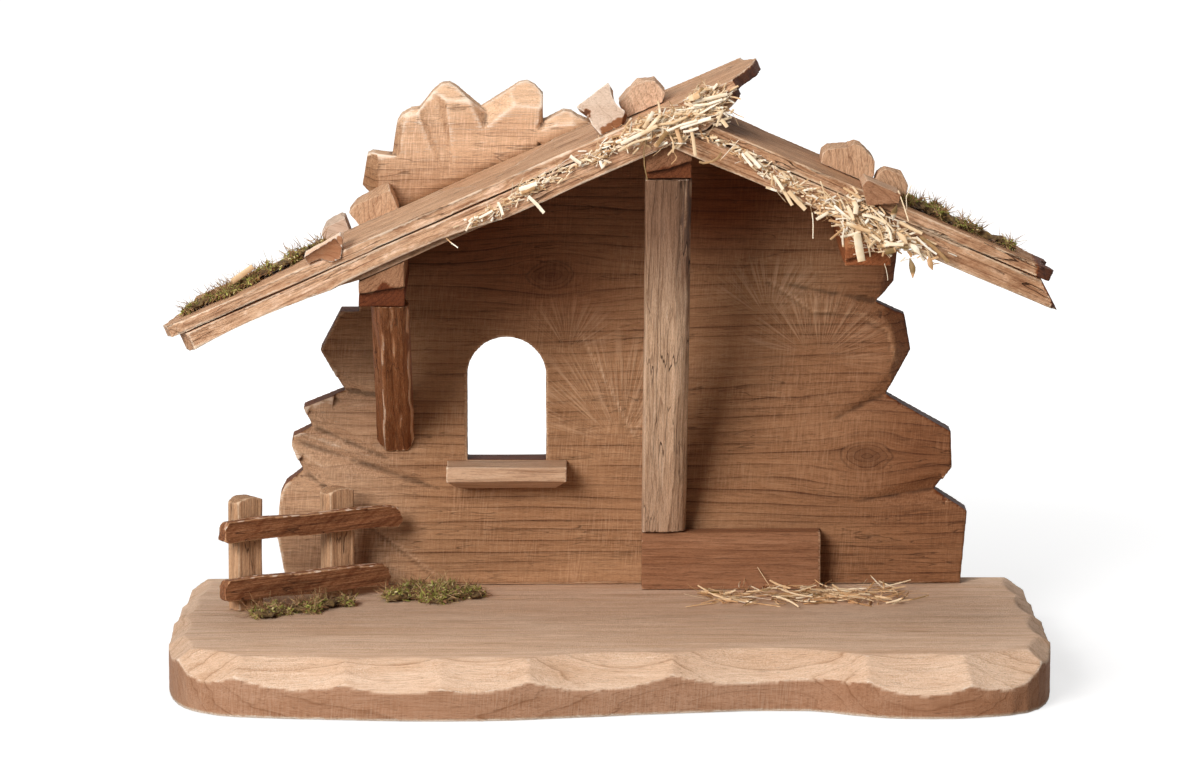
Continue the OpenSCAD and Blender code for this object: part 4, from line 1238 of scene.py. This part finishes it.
# %% Single straws
# x and z of each point along the straw, then its width, all in millimetres, and its shade
LEFT_STRAWS = [
    (-27.9, 172.5, -25.2, 170.1, -22.5, 167, 1.1, 0.4),
    (-13.6, 186.2, -11.6, 184.8, -9.9, 183.8, 1.2, 0.6),
    (-38.2, 170.5, -37.1, 168.4, -36.5, 166.3, 0.9, 0.85),
    (-49.1, 160.5, -48.4, 162.2, -47.4, 163.9, 0.5, 0.85),
    (-44.6, 165, -42.3, 166.3, -39.9, 167.7, 0.7, 0.85),
    (-31, 174.9, -28.3, 175.6, -24.9, 177, 1.4, 0.95),
    (-30.7, 173.5, -27.6, 174.6, -25.6, 175.6, 1, 0.9),
    (-55.9, 158.1, -53.9, 156.4, -51.8, 155, 0.35, 0.2),
    (-3.4, 184.8, -2.8, 182.4, -1.4, 184.5, 0.9, 0.95)]
RIDGE_STRAWS = [
    (3.6, 190.7, 10.2, 194.1, 15.9, 197, 1.15, 0.8),
    (2.7, 188.2, 8.1, 191.3, 13.6, 193, 0.75, 0.55),
    (23.7, 196.1, 29.2, 198.1, 34.2, 199.7, 1.1, 0.75),
    (27.1, 197.5, 28.2, 192, 28.9, 186.7, 1, 0.95),
    (11.5, 196.1, 12.9, 198.8, 14.6, 201.9, 1.15, 0.9),
    (12.9, 195.8, 15.2, 198.5, 16.9, 200.6, 1, 0.8),
    (15.9, 197.1, 21, 197.8, 25.8, 199.9, 0.8, 0.6),
    (18.6, 194.7, 23.7, 197.1, 29.5, 198.8, 0.7, 0.9),
    (28.8, 205, 34.2, 206.3, 39.7, 207.7, 1.1, 0.55),
    (28.1, 203.6, 33.2, 204.3, 38, 206, 0.75, 0.8),
    (30.5, 200.9, 35.3, 203.9, 39.3, 206.3, 0.7, 0.5),
    (36.1, 196.5, 37, 199.5, 38.3, 202.4, 0.7, 0.85),
    (37.6, 199, 38.7, 197.8, 39.7, 196.5, 1.2, 0.8),
    (26.6, 210.1, 28.1, 210.4, 30.2, 211.5, 1.7, 0.85),
    (27.1, 208.1, 29.5, 210.1, 31.5, 212.1, 0.9, 0.7),
    (30.2, 184.5, 31.9, 184.1, 34.7, 184.8, 36.9, 186.1, 37.7, 187.9, 0.75, 0.6),
    (12.8, 193.1, 11.4, 188.2, 11.6, 183.3, 12.6, 178.4, 0.35, 0.35),
    (19.9, 205.3, 21.7, 202.9, 21.3, 200.5, 0.3, 0.1),
    (40.7, 201.9, 43.1, 200.5, 45.3, 199.7, 0.25, 0),
    (20, 194, 21.4, 191.3, 21.4, 187.7, 0.5, 0.15),
    (22.3, 196.1, 23.1, 193.7, 24, 191.2, 1.15, 0.5),
    (15.5, 189.7, 17.3, 192.3, 19.3, 195.1, 1.35, 0.3),
    (21, 188.9, 22.7, 185.8, 20.7, 183.8, 0.3, 0.1), (3.4, 193, 5.1, 190.6, 6.1, 187.6, 0.3, 0.2),
    (24.8, 194.7, 27.1, 195.1, 29.9, 196.1, 0.8, 0.9)]
RIGHT_STRAWS = [
    (45.9, 187.6, 48.6, 185.1, 51, 182.5, 1.15, 0.55),
    (44.8, 187.2, 46.6, 184.8, 48.3, 183, 0.8, 0.4),
    (55.4, 179.6, 57.1, 177.5, 58.7, 175.1, 1, 0.9),
    (54.4, 180.6, 55.1, 178.6, 54.8, 176.5, 0.6, 0.6),
    (60.6, 174.4, 63.3, 171.3, 66.4, 168.2, 1.3, 0.45),
    (58.7, 175.1, 60.2, 172.4, 61.9, 169.6, 1, 0.5),
    (98.5, 163.7, 102.2, 161.7, 106.2, 159.8, 0.95, 0.85),
    (105.7, 158.5, 110.5, 154.7, 115.3, 149.9, 1.1, 0.75),
    (90.9, 155.1, 95.5, 156.2, 99.9, 156.1, 1.1, 0.9),
    (93.4, 157.2, 97.2, 155.5, 101.6, 155.1, 0.9, 0.8),
    (93.8, 153.2, 95.5, 153.7, 97.2, 154.4, 1.7, 0.5),
    (75, 157.6, 77.7, 160, 80.4, 162.4, 0.75, 0.55),
    (79.4, 155.1, 79.1, 158.6, 79.7, 161.8, 0.6, 0.55),
    (68.8, 166.9, 69.1, 163.1, 69, 158.1, 0.3, 0.1),
    (70.2, 164.5, 72.2, 165.8, 74.2, 167.2, 0.95, 0.8),
    (101, 173.5, 100.7, 177.8, 102.4, 181.9, 0.27, 0),
    (98, 174.4, 99.8, 169.6, 101.5, 164.1, 0.4, 0.3),
    (80.4, 163.4, 84.5, 161.7, 88.6, 160.6, 1.1, 0.85),
    (84.2, 162.7, 87.6, 160.3, 92, 157.2, 0.9, 0.8),
    (80.7, 169.3, 82.1, 166.5, 82.8, 164.4, 1.1, 0.75),
    (79.3, 175.4, 82.4, 173.7, 85.1, 172, 0.7, 0.7),
    (82.7, 171, 83.8, 168.9, 83.4, 166.5, 1.5, 0.4),
    (85.8, 166.2, 89.9, 165.5, 94, 163.4, 1, 0.7),
    (88.5, 168.9, 93.3, 164.4, 96.4, 161, 0.55, 0.35),
    (91, 157.9, 89.3, 156.2, 88, 154.8, 0.75, 0.75),
    (94, 162.7, 95.4, 159.9, 95.8, 157.2, 0.75, 0.7),
    (104.3, 158.6, 107.8, 155.1, 111.2, 152.7, 0.75, 0.6),
    (76.3, 169.3, 79, 166.9, 81.8, 164.8, 0.8, 0.85)]
LEAVES = [
    (97.5, 160.6, 99.5, 158.6, 101.2, 156.6, 1.7, 0.75),
    (101.6, 156.6, 103.7, 155.1, 105.7, 152.7, 1.8, 0.5),
    (96.2, 164.4, 96.4, 167.2, 97.4, 170.1, 2, 0.85),
    (102, 151.6, 103, 147.9, 103, 144.8, 1.85, 0),
    (108.5, 152, 109.2, 148.9, 109.8, 147.5, 1.7, 0.2)]
PURLIN_STRAW = [
    (84, 159.9, 84.7, 155, 85.6, 150.6, 2.5, 1)]

print(len(LEFT_STRAWS + RIDGE_STRAWS + RIGHT_STRAWS + LEAVES + PURLIN_STRAW), "single straws")

# %% [markdown]
# The left part is thin, the ridge and the right part are thick heaps. One broad straw lies on
# the left moss.

# %% Straw on the roof
STRAW_LEFT, STRAW_RIGHT = 23.8, -24.5  # the slopes that the heaps follow, in degrees
WIDE_CHIPS = (0.25, 0.8)

left_straw = chips(LEFT_HEAPS, STRAW_LEFT, 3, lean=26, pale=0.9) + laid(LEFT_STRAWS)
on_moss = [Vector((-0.1296 + 0.00122 * i, -0.015, 0.1413 + 0.0009 * i)) for i in range(7)]
left_straw.append((rest_on(("moss_left_roof",), on_moss, -0.015), 0.0018, 0.3, 0.5, 0.95))
heap("straw_left", left_straw, straw_finish, "straw_left_roof")
ridge_straw = chips(RIDGE_HEAPS, STRAW_LEFT, 4, WIDE_CHIPS, 3.2, pale=1.1)
ridge_straw += laid(RIDGE_STRAWS, -27.5)
heap("straw_at_ridge", ridge_straw, straw_finish, "straw_ridge")
right_straw = chips(RIGHT_HEAPS, STRAW_RIGHT, 5, WIDE_CHIPS, 3.0, pale=1.2)
right_straw += laid(RIGHT_STRAWS, -27)
right_straw += laid(PURLIN_STRAW, -29) + laid(LEAVES, -29, 0.1)
heap("straw_right", right_straw, straw_finish, "straw_right_roof")
fine = threads(LEFT_HEAPS, STRAW_LEFT, 31, 0.3) + threads(RIDGE_HEAPS, STRAW_LEFT, 41, 0.3)
fine += threads(RIGHT_HEAPS, STRAW_RIGHT, 51, 0.2)
heap("straw_threads", fine, straw_finish, None)

# %% [markdown]
# A thin litter of the same straw lies on the base in front of the wall, right of the middle. It
# is strewn, so most of it lies flat, and only a little lies on top of other straws.

# %% Straw on the ground
GROUND_X, GROUND_Y, GROUND_Z = (0.036, 0.104), (0.024, 0.046), 0.0198
random.seed(8)
ground = []
for _ in range(260):
    start = Vector((random.uniform(*GROUND_X), random.uniform(*GROUND_Y), GROUND_Z + CLOSE))
    start.z += random.random() ** 2 * 0.003
    heading = (random.uniform(-1, 1), random.uniform(-0.6, 0.6), random.uniform(-0.02, 0.06))
    route = strand(start, heading, random.uniform(0.003, 0.014), 0.4)
    for place in route:
        place.z = max(place.z, GROUND_Z)
    ground.append((route, random.uniform(0.00025, 0.0007), random.uniform(-1.5, 1.5),
                   random.betavariate(1.6, 2.2), 0.8))
heap("straw_floor", ground, straw_finish, "straw_ground")

# %% [markdown]
# Dried moss is a mat of short curly stems and tiny leaves, brown below and green at the tips.
# Each pad is a low cushion with many thin strands growing out of it. The cushion is dark, partly
# for the moss's brown base and partly as painted shade deep in the mat.

# %% Moss cushions
moss_finish = strand_material("moss", [(0.0, 96, 58, 36), (0.25, 146, 104, 66),
                                       (0.45, 190, 158, 112), (0.6, 124, 122, 50),
                                       (0.8, 164, 160, 76), (1.0, 222, 202, 150)], rough=0.85)


def cushion_material():
    material, tree = new_material("moss_cushion")
    clumps = speckle(tree, 600.0, 5.0)
    # Dark browns: the mat's own colour, and painted shade deep in the moss.
    colour = ramp(tree, clumps, tints((0.3, 70, 48, 28), (0.7, 128, 102, 58)))
    close_material(tree, colour, 0.9, relief_of(tree, clumps, 1.0, 0.0008))
    return material


cushion_finish = cushion_material()


def cushion(node):
    """A low lumpy cushion in the CAD pad's place. Returns its mesh."""
    pad = solid_copy(node)
    recell(pad, 0.0008)
    press_in(pad.data, np.clip(0.0018 + 0.0018 * specks(points_of(pad.data), 260), 0, 1))
    pad.data.shade_smooth()
    pad.data.materials.append(cushion_finish)
    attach(pad, "root")
    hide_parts(node)
    return pad.data


print("cushions ready")

# %% [markdown]
# The strands grow in loose tufts where a noise allows it. A third of them are wiry stems, and
# the others are small leaves, which are green where a slower noise makes the moss fresh.

# %% Moss
# How flat it lies, its lengths in metres, its curl, its number of points and its widths
STEM = (1.0, (0.002, 0.007), 9.0, 7, (0.00013, 0.00022))
LEAF = (0.8, (0.0007, 0.0022), 3.0, 4, (0.0003, 0.0007))
STEM_SHARE, PALE_TIPS = 0.32, 0.05
BROWN, GREEN = (0.05, 0.5), (0.58, 0.86)  # shades


def moss_pad(node, count, normal, seed, green, tall):
    """A cushion and the strands that grow from it in loose tufts."""
    random.seed(seed)
    mesh = cushion(node)
    place, away = points_of(mesh), points_of(mesh, "normal")
    upward = [i for i in range(len(place)) if away[i] @ np.array(normal) > -0.2
              and noise.noise(Vector(place[i]) * 190 + Vector((seed, 0, 0))) > -0.05]
    stems, leaves = [], []
    for _ in range(count):
        i = random.choice(upward)
        out = Vector(away[i])
        fresh = 2.2 * noise.noise(Vector(place[i]) * 140 + Vector((0, seed, 0))) + green
        fresh += random.gauss(0, 0.35)
        wiry = random.random() < STEM_SHARE
        flat, lengths, curl, points, widths = STEM if wiry else LEAF
        heading = Vector([random.gauss(0, 1.0) for _ in range(3)])
        heading -= flat * heading.dot(out) * out
        heading += out * random.uniform(-0.2, tall)
        length = random.uniform(*lengths)
        start = Vector(place[i]) + out * random.uniform(-0.0003, 0.0007)
        route = strand(start, heading, length, curl, points)
        width = random.uniform(*widths)
        shade = random.uniform(*(GREEN if fresh > 0 and not wiry else BROWN))
        if not wiry and random.random() < PALE_TIPS:
            shade = 1.0
        (stems if wiry else leaves).append((route, width, random.uniform(-1.5, 1.5), shade, 0.35))
    heap(node + "_stems", stems, moss_finish, None)
    heap(node + "_leaves", leaves, moss_finish, None)


for node, count, normal, green, tall in (("moss_left_roof", 3600, (-0.4, 0, 0.9), 0.1, 0.1),
                                         ("moss_right_roof", 2800, (0.4, 0, 0.9), 0.1, 0.1),
                                         ("moss_fence", 2000, (0, 0, 1), 0.2, 0.6),
                                         ("moss_wall_foot", 2600, (0, 0, 1), 0.6, 1.0)):
    moss_pad(node, count, normal, next(seeds), green, tall)

# %% [markdown]
# ## Stage and light
# The floor is pale matt paper that keeps the shadow near the stable. It also glows, more so
# further off, but only for rays that show the room itself. So it looks pure white there and
# doesn't light the stable.

# %% Floor
FLOOR_SIZE, PAPER = 8.0, (176, 175, 174)
GLOW_FROM, GLOW_TO = (0.15, 0.68), (0.6, 1.0)  # distance from the middle in metres, and glow


def seen_as_background(tree):
    """1 for rays that show the room itself: straight, in a gloss or through glass."""
    ray = put(tree, "LightPath").outputs
    glossy = maths(tree, "MAXIMUM", ray["Is Camera Ray"], ray["Is Glossy Ray"])
    return maths(tree, "MAXIMUM", glossy, ray["Is Transmission Ray"])


def white_floor():
    material, tree = new_material("white_floor")
    away = vectors(tree, "LENGTH", object_place(tree))
    glow = times(tree, seen_as_background(tree),
                 level(tree, away, GLOW_FROM[0], GLOW_TO[0], GLOW_FROM[1], GLOW_TO[1]))
    plain = put(tree, "BsdfDiffuse", {"Color": tint(*PAPER)})
    light = put(tree, "Emission", {"Color": WHITE, "Strength": glow})
    both = put(tree, "AddShader", {0: plain.outputs[0], 1: light.outputs[0]})
    put(tree, "OutputMaterial", {"Surface": both.outputs[0]})
    return material


floor_mesh = bpy.data.meshes.new("floor")
plane = bmesh.new()
bmesh.ops.create_grid(plane, x_segments=2, y_segments=2, size=FLOOR_SIZE)
plane.to_mesh(floor_mesh)
plane.free()
floor = add_object("floor", floor_mesh)
floor_mesh.materials.append(white_floor())
print("floor laid")

# %% [markdown]
# One large soft light stands high at the front left, as the shadows beside the braces show, with
# a weaker one above. The room is white to the eye, and adds a faint even light.

# %% World and lamps
ROOM_LIGHT = 0.09
AIM = Vector((0, 0, 0.09))

world = bpy.data.worlds.new("white_room")
scene.world = world
world.use_nodes = True
room = world.node_tree
room.nodes.clear()
strength = level(room, seen_as_background(room), 0.0, 1.0, ROOM_LIGHT, 1.0)
sky = put(room, "Background", {"Color": WHITE, "Strength": strength})
put(room, "OutputWorld", {"Surface": sky.outputs[0]})


def soft_lamp(name, place, size, watts):
    """A square lamp that faces the stable."""
    lamp = bpy.data.lights.new(name, "AREA")
    lamp.size = size
    lamp.energy = watts
    stand = add_object(name, lamp)
    stand.location = place
    stand.rotation_euler = (AIM - Vector(place)).to_track_quat("-Z", "Y").to_euler()


soft_lamp("key_light", (-0.91, -1.56, 0.96), 0.85, 44)
soft_lamp("top_light", (0.0, 0.0, 2.1), 1.0, 14)
scene.view_settings.view_transform = "Standard"
print("lamps placed")
